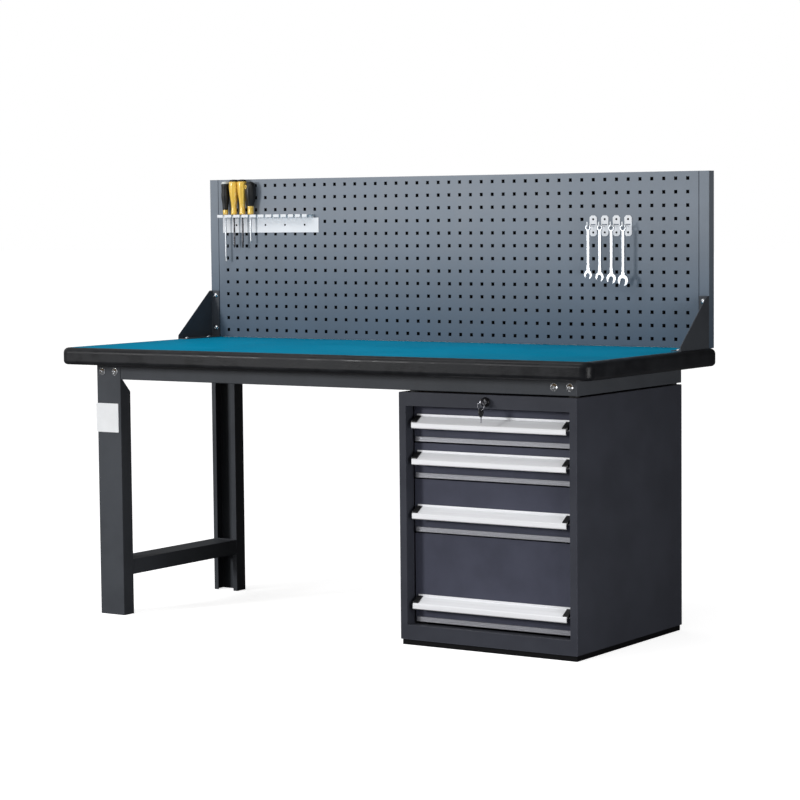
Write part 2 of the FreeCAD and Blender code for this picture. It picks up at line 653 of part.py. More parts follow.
def forward(points):
    """Turns distances in front of the drawer face into Y."""
    return mirrored(points)


def channel_outline(near, far, half_height):
    """A runner member's section: a web and two flanges, all one wall thick."""
    wall = size("runner_wall")
    if near == "web":
        return [(0, -half_height), (far, -half_height), (far, wall - half_height), (wall, wall - half_height),
                (wall, half_height - wall), (far, half_height - wall), (far, half_height), (0, half_height)]
    return [(0, -half_height), (far, -half_height), (far, half_height), (0, half_height),
            (0, half_height - wall), (far - wall, half_height - wall), (far - wall, wall - half_height),
            (0, wall - half_height)]


def runner_member(kind, side, level):
    """One member of a telescopic runner. The section is drawn from the cabinet's wall inwards."""
    wall = size("runner_wall")
    gap = size("runner_gap")
    thick = size("runner_thickness")
    half = size("runner_height") / 2
    start, far, half_height, near = {
        "outer": (Size("0"), thick - 3, half, "web"),
        "middle": (wall + gap, thick - wall - 2 * gap - wall, half - wall - gap, "web"),
        "inner": (2 * wall + 2 * gap, thick - 2 * wall - 2 * gap, half - 2 * wall - 2 * gap, "open"),
    }[kind]
    points = [(side * (start + x), z) for x, z in channel_outline(near, far, half_height)]
    wall_x = OPENING_LEFT if side > 0 else OPENING_RIGHT
    return profile("XZ_Plane", points, BOX_DEPTH, x=wall_x, y=BOX_BACK, z=level)


def make_drawer(drawer):
    name = "drawer_%d_" % drawer
    low = front_bottoms[drawer]
    high = low + size("front_height_%d" % drawer)
    left = OPENING_LEFT + size("front_side_gap")
    right = OPENING_RIGHT - size("front_side_gap")
    wall = size("front_wall")
    pan = profile("XZ_Plane", [(0, 0), (right - left, 0), (right - left, high - low), (0, high - low)],
                  size("front_pan_depth"), x=left, y=PAN_BACK, z=low)
    depth = number(size("front_pan_depth"))
    rounded(pan, size("pan_edge_radius"), lambda edge: lies_at(edge, "y", -depth))
    node(cut(pan, block(left + wall, right - wall, FACE + wall, PAN_BACK + 1, low + wall, high - wall)),
         name + "front")

    thin = size("box_wall")
    box_low = box_bottom(drawer)
    box_high = high - size("box_drop")
    tray = cut(block(BOX_LEFT, BOX_RIGHT, PAN_BACK, BOX_BACK, box_low, box_high),
               block(BOX_LEFT + thin, BOX_RIGHT - thin, PAN_BACK + thin, BOX_BACK - thin,
                     box_low + thin, box_high + 1))
    catch_low = box_low + size("catch_above")
    catch_high = catch_low + size("catch_height")
    catch_mid = catch_low + size("catch_floor")
    slot_half = size("catch_length") / 2 - size("catch_wall")
    catch = cut(block(BOX_RIGHT, BOX_RIGHT + size("catch_reach"), FINGER_Y - size("catch_length") / 2,
                      FINGER_Y + size("catch_length") / 2, catch_low, catch_high),
                block(BOX_RIGHT - 1, BOX_RIGHT + size("catch_reach") + 1, FINGER_Y - slot_half,
                      FINGER_Y + slot_half, catch_mid, catch_high + 1))
    foot = block(BOX_RIGHT - thin, BOX_RIGHT, FINGER_Y - size("catch_length") / 2,
                 FINGER_Y + size("catch_length") / 2, catch_low, catch_high)
    node(fuse(tray, catch, foot), name + "box")

    plate_wall = size("cap_plate")
    node(profile("YZ_Plane", forward(handle_outline()), HANDLE_LENGTH - 2 * plate_wall,
                 x=HANDLE_LEFT + plate_wall, y=FACE, z=low + size("handle_lift")), name + "handle")
    caps = []
    for start, plate_start in ((HANDLE_LEFT, HANDLE_LEFT),
                               (HANDLE_RIGHT - size("cap_length"), HANDLE_RIGHT - plate_wall)):
        band = profile("YZ_Plane", forward(cap_outline()), size("cap_length"),
                       x=start, y=FACE, z=low + size("handle_lift"))
        end = profile("YZ_Plane", forward(end_plate_outline()), plate_wall,
                      x=plate_start, y=FACE, z=low + size("handle_lift"))
        caps.append(fuse(band, end))
    node(group(*caps), name + "handle_caps")

    tall = size("trim_height")
    reach = size("trim_reach")
    groove = size("trim_groove")
    strip = [(0, 0), (reach, 0), (reach, tall / 4), (reach - groove, tall / 4),
             (reach - groove, tall / 2 - 1), (reach, tall / 2 - 1),
             (reach, tall / 2 + 1), (reach - groove, tall / 2 + 1),
             (reach - groove, 3 * tall / 4), (reach, 3 * tall / 4), (reach, tall - 1), (reach - 1, tall),
             (0, tall)]
    node(profile("YZ_Plane", forward(strip), HANDLE_LENGTH, x=HANDLE_LEFT, y=FACE, z=low), name + "trim")

    level = box_low + size("runner_lift")
    node(group(runner_member("inner", 1, level), runner_member("inner", -1, level)), name + "runners")
    node(group(runner_member("middle", 1, level), runner_member("middle", -1, level)), name + "middle_rails")
    return [runner_member("outer", 1, level), runner_member("outer", -1, level)]


# ---------------------------------------------------------------- lock
BARREL_FRONT = FRAME_FRONT - size("lock_bezel_height") + size("barrel_recess")
CAM_FRONT = FRAME_FRONT + size("front_frame_depth") + 1
CAM_BACK = CAM_FRONT + size("cam_wall")
LINK_FRONT = CAM_BACK + size("link_gap")
LINK_BACK = LINK_FRONT + size("link_wall")
TAB_FRONT = LINK_BACK + size("link_gap")
TAB_BACK = TAB_FRONT + size("link_wall")
PIN_Z = LOCK_Z - size("cam_reach")
BAR_RIGHT = FRAME_RIGHT - size("stile_width") + size("bar_inset") + size("bar_wall")
BAR_LEFT = BAR_RIGHT - size("bar_wall")
BAR_FRONT = FRAME_FRONT + size("bar_setback")
BAR_BACK = BAR_FRONT + size("bar_width")
LINK_PIN_X = BAR_LEFT - size("link_pin_inset")
LINK_Z = LOCK_Z - size("link_drop")


def make_lock():
    body_back = FRAME_FRONT + size("lock_body_depth")
    bore = rod("y", LOCK_X, FRAME_FRONT - size("lock_bezel_height") - 1, LOCK_Z,
               size("barrel_radius") + size("barrel_gap"), size("lock_body_depth") + 20)
    disc = rod("y", LOCK_X, FRAME_FRONT - size("lock_bezel_height"), LOCK_Z,
               size("lock_bezel_radius"), size("lock_bezel_height"))
    taper = doc.addObject("Part::Cone", "bezel_taper")
    taper.Placement.Rotation = AXIS_TURNS["y"]
    bind(taper, x=LOCK_X, y=FRAME_FRONT - size("lock_bezel_height"), z=LOCK_Z,
         Radius1=size("lock_bezel_radius") - size("bezel_taper"),
         Radius2=size("lock_bezel_radius") + size("bezel_taper"), Height=size("lock_bezel_height"))
    bezel = common(disc, taper)
    stem = rod("y", LOCK_X, FRAME_FRONT, LOCK_Z, size("lock_body_radius"), size("lock_body_depth"))
    housing = cut(fuse(bezel, stem), bore)
    nut_front = FRAME_FRONT + size("frame_wall")
    nut_radius = size("lock_body_radius") + size("lock_nut_wall")
    nut = cut(hexagon("y", LOCK_X, nut_front, LOCK_Z, nut_radius, size("lock_nut_height")),
              rod("y", LOCK_X, nut_front - 1, LOCK_Z, size("lock_body_radius") + size("lock_hole_gap"),
                  size("lock_nut_height") + 2))
    node(group(housing, nut), "lock_housing")

    half_wall = size("key_wall") / 2
    gap = size("key_slot_gap")
    half_blade = size("key_blade_height") / 2
    key_slot = block(LOCK_X - half_wall - gap, LOCK_X + half_wall + gap, BARREL_FRONT - 1,
                     BARREL_FRONT + size("key_blade_length") + 2, LOCK_Z - half_blade - gap,
                     LOCK_Z + half_blade + gap)
    barrel = cut(rod("y", LOCK_X, BARREL_FRONT, LOCK_Z, size("barrel_radius"), CAM_FRONT - BARREL_FRONT),
                 key_slot)
    half_cam = size("cam_width") / 2
    cam = fuse(rod("y", LOCK_X, CAM_FRONT, LOCK_Z, size("barrel_radius"), size("cam_wall")),
               rod("y", LOCK_X, CAM_FRONT, PIN_Z, half_cam, size("cam_wall")),
               block(LOCK_X - half_cam, LOCK_X + half_cam, CAM_FRONT, CAM_BACK, PIN_Z, LOCK_Z),
               rod("y", LOCK_X, CAM_BACK, PIN_Z, size("pin_radius"), size("link_gap") + size("link_wall")))
    node(fuse(barrel, cam), "lock_barrel")

    key_hole_y = BARREL_FRONT - size("key_bow_length") + size("key_hole_inset")
    node(make_key(LOCK_X, BARREL_FRONT, LOCK_Z, key_hole_y), "lock_key")

    ring_low = LOCK_Z - 2 * size("ring_radius")
    ring = doc.addObject("Part::Torus", "split_ring")
    ring.Placement.Rotation = AXIS_TURNS["y"]
    bind(ring, x=LOCK_X, y=key_hole_y, z=LOCK_Z - size("ring_radius"), Radius1=size("ring_radius"),
         Radius2=size("ring_wire"))
    node(group(ring, make_hanging_key(key_hole_y, ring_low)), "spare_key_on_ring")

    slot_half = size("pin_radius") + size("lost_motion") + size("pin_play")
    slot_low = PIN_Z - size("pin_radius") - size("pin_play") - 1
    slot_high = LOCK_Z + size("pin_radius") + size("pin_play") + 1
    link_half = size("link_height") / 2
    eye_half = slot_half + size("eye_side")
    eye = block(LOCK_X - eye_half, LOCK_X + eye_half, LINK_FRONT, LINK_BACK,
                slot_low - size("eye_end"), slot_high + size("eye_end"))
    strip = block(LOCK_X, LINK_PIN_X + link_half, LINK_FRONT, LINK_BACK,
                  LINK_Z - link_half, LINK_Z + link_half)
    eye_slot = block(LOCK_X - slot_half, LOCK_X + slot_half, LINK_FRONT - 1, LINK_BACK + 1,
                     slot_low, slot_high)
    link_pin = rod("y", LINK_PIN_X, LINK_BACK, LINK_Z, size("pin_radius"),
                   size("link_gap") + size("link_wall"))
    node(fuse(cut(fuse(eye, strip), eye_slot), link_pin), "lock_link")

    make_lock_bar()


def make_key(x, y, z, hole_y):
    """A flat key seen from its side: a round bow in front and a blade in the barrel."""
    half_wall = size("key_wall") / 2
    half_bow = size("key_bow_height") / 2
    half_blade = size("key_blade_height") / 2
    bow_middle = y - size("key_bow_length") / 2
    shape = fuse(rod("x", x - half_wall, bow_middle, z, half_bow, size("key_wall")),
                 block(x - half_wall, x + half_wall, bow_middle, y + size("key_blade_length"),
                       z - half_blade, z + half_blade))
    return cut(shape, rod("x", x - half_wall - 1, hole_y, z, size("key_hole_radius"), size("key_wall") + 2))


def make_hanging_key(y, ring_low):
    """The spare key hangs from the ring by the hole in its bow."""
    half_wall = size("key_wall") / 2
    half_bow = size("key_bow_height") / 2
    half_blade = size("key_blade_height") / 2
    bow_middle = ring_low - half_bow + size("key_hole_inset")
    bow = rod("x", LOCK_X - half_wall, y, bow_middle, half_bow, size("key_wall"))
    blade = block(LOCK_X - half_wall, LOCK_X + half_wall, y - half_blade, y + half_blade,
                  bow_middle - half_bow - size("spare_blade_length"), bow_middle)
    hole = rod("x", LOCK_X - half_wall - 1, y, ring_low, size("key_hole_radius"), size("key_wall") + 2)
    return cut(fuse(bow, blade), hole)


def make_lock_bar():
    """The bar drops as the link moves right, because the link's pin runs in its sloping slot."""
    arm_half = size("link_height")
    travel = size("cam_reach")
    bar = block(BAR_LEFT, BAR_RIGHT, BAR_FRONT, BAR_BACK, size("bar_bottom"), LINK_Z + arm_half)
    arm = block(BAR_LEFT, BAR_RIGHT, TAB_FRONT, BAR_BACK, LINK_Z - size("arm_drop"), LINK_Z + arm_half)
    tab = block(LINK_PIN_X - size("tab_left"), LINK_PIN_X + travel + size("tab_right"), TAB_FRONT, TAB_BACK,
                LINK_Z - size("tab_low"), LINK_Z + travel + size("tab_high"))
    slot_radius = size("pin_radius") + size("pin_play") / 2
    slope = doc.addObject("Part::Box", "slope")
    bind(slope, Length=travel * SLOPE_LENGTH, Width=size("link_wall") + 2, Height=slot_radius * 2)
    slope.Placement.Rotation = Rotation(Vector(0, 1, 0), -SLOPE_ANGLE)
    bind(slope, x=LINK_PIN_X + slot_radius / SLOPE_LENGTH, y=TAB_FRONT - 1,
         z=LINK_Z - slot_radius / SLOPE_LENGTH)
    low_end = rod("y", LINK_PIN_X, TAB_FRONT - 1, LINK_Z, slot_radius, size("link_wall") + 2)
    high_end = rod("y", LINK_PIN_X + travel, TAB_FRONT - 1, LINK_Z + travel, slot_radius,
                   size("link_wall") + 2)
    fingers = []
    for drawer in DRAWERS:
        catch_high = box_bottom(drawer) + size("catch_above") + size("catch_height")
        bottom = catch_high + size("finger_play")
        fingers.append(block(BAR_LEFT - size("finger_reach"), BAR_LEFT, FINGER_Y - size("finger_wall") / 2,
                             FINGER_Y + size("finger_wall") / 2, bottom, bottom + size("finger_height")))
    node(cut(fuse(bar, arm, tab, *fingers), slope, low_end, high_end), "lock_bar")


def make_bar_guides():
    """Two blocks on the cabinet side that the lock bar slides through."""
    play = size("guide_play")
    wall = size("guide_wall")
    margin = size("guide_margin")
    guides = []
    right = FRAME_RIGHT - size("cabinet_wall")
    upper = box_bottom(1) + size("catch_above") - size("catch_height")
    for level in (box_bottom(4) + size("front_height_4") / 2, upper):
        outer = block(BAR_LEFT - play - wall, right, BAR_FRONT - margin, BAR_BACK + margin, level,
                      level + size("guide_height"))
        inner = block(BAR_LEFT - play, BAR_RIGHT + play, BAR_FRONT - play, BAR_BACK + play, level - 1,
                      level + size("guide_height") + 1)
        guides.append(cut(outer, inner))
    return guides


# ---------------------------------------------------------------- perforated panel
def make_panel():
    """A folded pan with a grid of square holes and a cover sheet behind, laid out from the named sizes.

    It is a plain shape, because a pattern of this many pockets takes minutes to recompute.
    """
    half = number(PANEL_RIGHT)
    low = number(TOP_SURFACE + size("panel_lift"))
    high = number(TOP_SURFACE + size("panel_height"))
    front = number(PANEL_FRONT)
    wall = number(size("panel_wall"))
    depth = number(size("panel_return"))
    pitch = number(size("hole_pitch"))
    hole = number(size("hole_size"))
    top_row = high - number(size("hole_top_margin"))
    columns = int((2 * half - 2 * number(size("hole_side_margin"))) // pitch) + 1
    rows = int((top_row - low - number(size("hole_bottom_margin"))) // pitch) + 1

    def square(x, z, across, up):
        corners = [Vector(x, front, z), Vector(x + across, front, z), Vector(x + across, front, z + up),
                   Vector(x, front, z + up), Vector(x, front, z)]
        return Part.makePolygon(corners)

    outer = Part.Face(square(-half, low, 2 * half, high - low))
    holes = []
    for column in range(columns):
        middle = (column - (columns - 1) / 2) * pitch
        for step in range(rows):
            holes.append(square(middle - hole / 2, top_row - step * pitch - hole / 2, hole, hole))
    face = Part.Face([outer.OuterWire] + holes)
    face.validate()
    skin = face.extrude(Vector(0, wall, 0))
    rim = Part.makeBox(2 * half, depth - wall, high - low, Vector(-half, front + wall, low))
    rim = rim.cut(Part.makeBox(2 * (half - wall), depth, high - low - 2 * wall,
                               Vector(wall - half, front, low + wall)))
    screw_radius = number(size("side_screw_shank") + size("bolt_hole_clearance"))
    for side in (-1, 1):
        for height in side_screw_levels():
            start = Vector(side * (half + 1), number(SIDE_SCREW_Y), number(height))
            rim = rim.cut(Part.makeCylinder(screw_radius, wall + 2, start, Vector(-side, 0, 0)))
    panel = doc.addObject("Part::Feature", "panel")
    panel.Shape = skin.fuse(rim).removeSplitter()
    panel.Placement = FreeCAD.Placement()
    back = PANEL_FRONT + size("panel_return")
    inner = PANEL_RIGHT - size("panel_wall")
    cover = block(-inner, inner, back - size("panel_cover_wall"), back,
                  TOP_SURFACE + size("panel_lift") + size("panel_wall"),
                  TOP_SURFACE + size("panel_height") - size("panel_wall"))
    node(group(panel, cover), "pegboard_panel")


SIDE_SCREW_Y = PANEL_FRONT + size("panel_return") / 2


def side_screw_levels():
    middle = TOP_SURFACE + size("panel_height") / 2
    return [middle - size("side_screw_step"), middle, middle + size("side_screw_step")]


def sided(side, x_low, x_high, *rest):
    """A box on the right, or its mirror on the left."""
    if side > 0:
        return block(x_low, x_high, *rest)
    return block(-Size(x_high), -Size(x_low), *rest)


def make_post(side):
    wall = size("post_wall")
    back = PANEL_FRONT + size("post_depth")
    top = TOP_SURFACE + size("panel_height")
    tube = cut(sided(side, POST_INNER, POST_OUTER, PANEL_FRONT, back, TOP_SURFACE, top),
               sided(side, POST_INNER + wall, POST_OUTER - wall, PANEL_FRONT + wall, back - wall,
                     TOP_SURFACE - 1, top - wall))
    holes = []
    radius = size("side_screw_shank") + size("bolt_hole_clearance")
    axis = "x" if side > 0 else "-x"
    for height in side_screw_levels():
        holes.append(rod(axis, side * (POST_INNER - 1), SIDE_SCREW_Y, height, radius, wall + 2))
    radius = size("small_shank_radius") + size("bolt_hole_clearance")
    for height in ("bracket_bolt_low", "bracket_bolt_high"):
        holes.append(rod("y", side * SMALL_BOLT_X, PANEL_FRONT - 1, TOP_SURFACE + size(height),
                         radius, wall + 2))
    return cut(tube, *holes)


def make_bracket(side):
    """A gusset with a flange on the post and a foot on the worktop."""
    wall = size("bracket_wall")
    high = size("bracket_height")
    reach = size("bracket_reach")
    toe = size("bracket_toe")
    outline = [(BRACKET_FRONT, 0), (PANEL_FRONT, 0), (PANEL_FRONT, high), (PANEL_FRONT - toe, high),
               (BRACKET_FRONT, toe)]
    gusset_left = POST_OUTER - wall if side > 0 else -POST_OUTER
    gusset = profile("YZ_Plane", outline, wall, x=gusset_left, z=TOP_SURFACE)
    flange = sided(side, POST_INNER, POST_OUTER, PANEL_FRONT - wall, PANEL_FRONT,
                   TOP_SURFACE, TOP_SURFACE + high)
    foot = sided(side, POST_INNER, POST_OUTER, BRACKET_FRONT, PANEL_FRONT,
                 TOP_SURFACE, TOP_SURFACE + wall)
    radius = size("small_shank_radius") + size("bolt_hole_clearance")
    holes = []
    for back in ("bracket_bolt_front", "bracket_bolt_back"):
        holes.append(rod("-z", side * SMALL_BOLT_X, BRACKET_FRONT + size(back), TOP_SURFACE + wall + 1,
                         radius, wall + 2))
    for height in ("bracket_bolt_low", "bracket_bolt_high"):
        holes.append(rod("y", side * SMALL_BOLT_X, PANEL_FRONT - wall - 1, TOP_SURFACE + size(height),
                         radius, wall + 2))
    return cut(fuse(gusset, flange, foot), *holes)


def make_panel_fasteners():
    wall = size("bracket_wall")
    bolts = []
    for side in (-1, 1):
        x = side * SMALL_BOLT_X
        for back in ("bracket_bolt_front", "bracket_bolt_back"):
            bolts.append(domed_bolt("-z", x, BRACKET_FRONT + size(back), TOP_SURFACE + wall,
                                    size("small_shank_length"), size("small_bolt_radius"),
                                    size("small_bolt_height"), size("small_shank_radius")))
        for height in ("bracket_bolt_low", "bracket_bolt_high"):
            bolts.append(domed_bolt("y", x, PANEL_FRONT - wall, TOP_SURFACE + size(height),
                                    wall + size("post_wall") + size("small_bolt_past"),
                                    size("small_bolt_radius"),
                                    size("small_bolt_height"), size("small_shank_radius")))
        axis = "x" if side > 0 else "-x"
        back_axis = "-x" if side > 0 else "x"
        inner_face = side * (PANEL_RIGHT - size("panel_wall"))
        for height in side_screw_levels():
            head = rod(back_axis, inner_face, SIDE_SCREW_Y, height, size("side_screw_radius"),
                       size("side_screw_height"))
            shank = rod(axis, inner_face, SIDE_SCREW_Y, height, size("side_screw_shank"),
                        size("panel_wall") + size("post_gap") + size("post_wall") + size("side_screw_height"))
            bolts.append(fuse(head, shank))
    node(group(*bolts), "panel_fasteners")


# ---------------------------------------------------------------- tool holders and tools
def slot_places():
    """Middles of the rack's slots, from its left end; the pitch shrinks to the right."""
    places = []
    place = size("slot_first")
    pitch = size("slot_first_pitch")
    for _ in range(SLOT_COUNT):
        places.append(place)
        place = place + pitch
        pitch = pitch - size("slot_pitch_step")
    return places


RACK_LEFT = -PANEL_RIGHT + size("rack_inset")
RACK_TOP = TOP_SURFACE + size("panel_height") - size("rack_drop")


def make_rack():
    wall = size("rack_wall")
    right = RACK_LEFT + size("rack_length")
    front = PANEL_FRONT - size("rack_reach")
    back_plate = block(RACK_LEFT, right, PANEL_FRONT - wall, PANEL_FRONT,
                       RACK_TOP - size("rack_height"), RACK_TOP)
    shelf_end = right - size("rack_bare_end")
    shelf = block(RACK_LEFT, shelf_end, front, PANEL_FRONT, RACK_TOP - wall, RACK_TOP)
    lip = block(RACK_LEFT, shelf_end, front, front + wall, RACK_TOP - size("rack_lip"), RACK_TOP)
    cuts = [block(shelf_end, right + 1, PANEL_FRONT - wall - 1, PANEL_FRONT + 1,
                  RACK_TOP - size("rack_notch"), RACK_TOP + 1)]
    half_slot = size("slot_width") / 2
    for place in slot_places():
        x = RACK_LEFT + place
        cuts.append(block(x - half_slot, x + half_slot, front - 1, front + size("slot_depth"),
                          RACK_TOP - size("rack_lip") - 1, RACK_TOP + 1))
    first_column = -PANEL_COLUMNS_HALF * size("hole_pitch")
    for step in RACK_HOLE_COLUMNS:
        cuts.append(rod("y", first_column + step * size("hole_pitch"), PANEL_FRONT - wall - 1,
                        RACK_TOP - size("rack_hole_drop"), size("rack_hole_radius"), wall + 2))
    node(cut(fuse(back_plate, shelf, lip), *cuts), "screwdriver_rack")


PANEL_COLUMNS_HALF = (int((2 * number(PANEL_RIGHT) - 2 * number(size("hole_side_margin")))
                          // number(size("hole_pitch")))) / 2
HOOK_Z = TOP_SURFACE + size("panel_height") - size("hole_top_margin") - TOOL_ROWS_DOWN * size("hole_pitch")


def hook_x(index):
    """A hook hangs on a column of holes, counted from the panel's last column."""
    return (PANEL_COLUMNS_HALF - size("hook_columns_in") + index) * size("hole_pitch")


def make_hooks():
    wall = size("hook_wall")
    half = size("hook_width") / 2
    tall = size("hook_height") / 2
    corner = size("hook_corner")
    prong = size("hook_prong") / 2
    reach = size("hook_reach")
    hooks = []
    for index in range(HOOK_COUNT):
        x = hook_x(index)
        outline = [(-half, corner - tall), (corner - half, -tall),
                   (half - corner, -tall), (half, corner - tall),
                   (half, tall - corner), (half - corner, tall),
                   (corner - half, tall), (-half, tall - corner)]
        back = profile("XZ_Plane", outline, wall, x=x, y=PANEL_FRONT, z=HOOK_Z)
        edge = size("hook_window_edge")
        window = block(x - half + edge, x + half - edge, PANEL_FRONT - wall - 1, PANEL_FRONT + 1,
                       HOOK_Z + size("hook_window_low"), HOOK_Z + size("hook_window_high"))
        screws = [rod("y", x, PANEL_FRONT - wall - 1, HOOK_Z + sign * size("hole_pitch") / 2,
                      size("hook_hole_radius"), wall + 2) for sign in (-1, 1)]
        arm = block(x - prong, x + prong, PANEL_FRONT - reach, PANEL_FRONT, HOOK_Z - wall, HOOK_Z)
        tip = block(x - prong, x + prong, PANEL_FRONT - reach, PANEL_FRONT - reach + wall, HOOK_Z - wall,
                    HOOK_Z + size("hook_tip"))
        hooks.append(fuse(cut(back, window, *screws), arm, tip))
    node(group(*hooks), "wrench_hooks")


def make_wrench(index):
    """A combination wrench that hangs by its ring on a hook's prong."""
    length, ring_radius, jaw_width = WRENCHES[index]
    wall = size("wrench_wall")
    x = hook_x(index)
    front = PANEL_FRONT - size("hook_reach") + size("hook_wall") + size("wrench_stand_off")
    back = front + wall
    inner_radius = ring_radius - size("ring_wall")
    prong = size("hook_prong") / 2
    seat = Size("sqrt(%s)" % (inner_radius * inner_radius - prong * prong))
    ring_z = HOOK_Z - seat + size("hook_play")
    jaw_radius = jaw_width / 2
    jaw_z = ring_z - length + jaw_radius * JAW_DROP
    shank = size("wrench_shank") / 2
    ring = rod("y", x, front, ring_z, Size(str(ring_radius)), wall)
    jaw = rod("y", x, front, jaw_z, Size(str(jaw_radius)), wall)
    stem = block(x - shank, x + shank, front + 0.5, back - 0.5, jaw_z, ring_z)
    hole = rod("y", x, front - 1, ring_z, inner_radius, wall + 2)
    half_mouth = jaw_radius * MOUTH_SHARE
    mouth = doc.addObject("Part::Box", "mouth")
    mouth.Placement.Rotation = Rotation(Vector(0, 1, 0), JAW_TILT)
    tilt_sine = math.sin(math.radians(JAW_TILT))
    tilt_cosine = math.cos(math.radians(JAW_TILT))
    drop = jaw_radius * MOUTH_DEPTH
    bind(mouth, Length=Size(str(2 * half_mouth)), Width=wall + 2, Height=Size(str(drop)),
         x=x - half_mouth * tilt_cosine - drop * tilt_sine, y=front - 1,
         z=jaw_z + half_mouth * tilt_sine - drop * tilt_cosine + 1)
    return cut(fuse(ring, jaw, stem), hole, mouth)


def make_screwdriver(index):
    """The handle stands on the rack's shelf and the shaft goes down through a slot."""
    handle_length, handle_radius, shaft_radius, shaft_length = SCREWDRIVERS[index]
    x = RACK_LEFT + slot_places()[index]
    y = PANEL_FRONT - size("rack_reach") + size("slot_depth") / 2
    base_radius = handle_radius * NECK_SHARE
    neck_height = handle_length * NECK_LENGTH
    crown_height = handle_radius * CROWN_LENGTH
    neck = doc.addObject("Part::Cone", "neck")
    bind(neck, x=x, y=y, z=RACK_TOP, Radius1=Size(str(base_radius)), Radius2=Size(str(handle_radius)),
         Height=Size(str(neck_height)))
    grip_height = handle_length - neck_height - crown_height
    grip = rod("z", x, y, RACK_TOP + neck_height, Size(str(handle_radius)), Size(str(grip_height)))
    crown = doc.addObject("Part::Cone", "crown")
    bind(crown, x=x, y=y, z=RACK_TOP + neck_height + grip_height, Radius1=Size(str(handle_radius)),
         Radius2=Size(str(handle_radius * CROWN_SHARE)), Height=Size(str(crown_height)))
    shaft = rod("-z", x, y, RACK_TOP, Size(str(shaft_radius)), Size(str(shaft_length)))
    return fuse(neck, grip, crown), shaft


# ---------------------------------------------------------------- build
make_worktop()
make_long_beam("front_beam", BEAM_FRONT, 1)
make_long_beam("rear_beam", BEAM_BACK, -1)
node(group(make_end_beam(FRAME_LEFT + size("leg_wall"), 1), make_end_beam(FRAME_RIGHT, -1)), "end_beams")
make_leg("front_leg", FRAME_FRONT, 1)
make_leg("rear_leg", FRAME_BACK, -1)
make_leg_rail()
make_label_plate()
make_frame_bolts()
make_cabinet()
fixed_rails = []
for drawer in DRAWERS:
    fixed_rails += make_drawer(drawer)
node(group(*fixed_rails), "drawer_rails_fixed")
make_lock()
make_uprights()
make_panel()
node(group(make_post(-1), make_post(1)), "pegboard_posts")
node(group(make_bracket(-1), make_bracket(1)), "pegboard_brackets")
make_panel_fasteners()
make_rack()
make_hooks()
node(group(*[make_wrench(index) for index in range(len(WRENCHES))]), "wrenches")
handles, shafts = zip(*[make_screwdriver(index) for index in range(len(SCREWDRIVERS))])
node(group(*handles), "screwdriver_handles")
node(group(*shafts), "screwdriver_shafts")

# ---------------------------------------------------------------- check and write
doc.recompute()
for thing in doc.Objects:
    if "Invalid" in thing.State or "Error" in thing.State:
        raise RuntimeError("%s (%s) failed: %s" % (thing.Name, thing.Label, thing.State))
labels = [thing.Label for thing in NODES]
if len(set(labels)) != len(labels):
    raise RuntimeError("two sub-parts share a label")
for thing in NODES:
    if thing.Shape.isNull() or not thing.Shape.isValid() or not thing.Shape.Solids:
        raise RuntimeError("%s has no valid shape" % thing.Label)
for thing in NODES:
    thing.Shape.exportStep("parts/%s.step" % thing.Label)
    print("%-24s %2d solids %12.0f mm3" % (thing.Label, len(thing.Shape.Solids), thing.Shape.Volume))
print(len(NODES), "sub-parts")
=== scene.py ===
# %% [markdown]
# A steel workbench, finished round its engineered frame.
# The bench is a worktop on folded beams, with a leg frame on the left, a cabinet of
# four drawers on the right and a perforated panel for tools behind. The frame that is
# loaded here already has every sheet, bolt and runner at its real size, so this lesson
# is about what makes it look like powder-coated steel, laminate and aluminium, and about
# the small things a hand would notice: tools, keys, weld beads and folded edges.

# %% Load the frame
import json
import math
import random

import bmesh
import bpy
from mathutils import Matrix, Vector


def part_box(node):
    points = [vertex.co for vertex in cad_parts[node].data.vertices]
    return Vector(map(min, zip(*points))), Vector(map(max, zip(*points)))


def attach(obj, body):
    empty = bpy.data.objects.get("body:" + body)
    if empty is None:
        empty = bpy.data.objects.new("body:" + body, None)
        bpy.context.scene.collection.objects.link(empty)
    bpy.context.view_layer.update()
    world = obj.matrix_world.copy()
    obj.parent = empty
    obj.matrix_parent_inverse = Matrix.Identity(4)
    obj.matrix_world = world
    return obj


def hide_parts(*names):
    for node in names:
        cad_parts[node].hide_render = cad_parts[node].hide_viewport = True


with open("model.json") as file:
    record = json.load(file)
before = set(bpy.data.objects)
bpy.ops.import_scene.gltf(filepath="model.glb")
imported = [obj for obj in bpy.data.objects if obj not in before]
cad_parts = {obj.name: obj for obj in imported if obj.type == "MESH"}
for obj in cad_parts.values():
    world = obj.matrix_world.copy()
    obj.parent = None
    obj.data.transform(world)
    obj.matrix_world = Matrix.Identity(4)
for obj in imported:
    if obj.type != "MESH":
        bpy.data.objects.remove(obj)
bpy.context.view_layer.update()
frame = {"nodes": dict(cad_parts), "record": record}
record = frame["record"]

# %% [markdown]
# Setting out. Colours are picked on a screen, so they are written as the usual
# 0 to 255 triples and turned into the linear light that the renderer works in. Lengths
# inside pieces are easier to read in millimetres, so one constant turns them into metres.

# %% Units and colours
MM = 0.001


def linear(*parts):
    """A screen colour, 0 to 255 each, as linear light with full opacity."""
    light = []
    for part in parts:
        share = part / 255
        light.append(share / 12.92 if share <= 0.04045 else ((share + 0.055) / 1.055) ** 2.4)
    return (*light, 1.0)


def scaled(colour, factor):
    """The same hue, lighter or darker."""
    return (*[min(1.0, part * factor) for part in colour[:3]], 1.0)


CHARCOAL = linear(68, 71, 76)
print("charcoal in linear light is", [round(v, 4) for v in CHARCOAL[:3]])

# %% [markdown]
# Wiring nodes by hand needs many repeated calls. These few helpers each place one node,
# feed its sockets with a link or with a plain value, and hand back the output to use
# next, so a finish further down reads as a short recipe.

# %% Node helpers


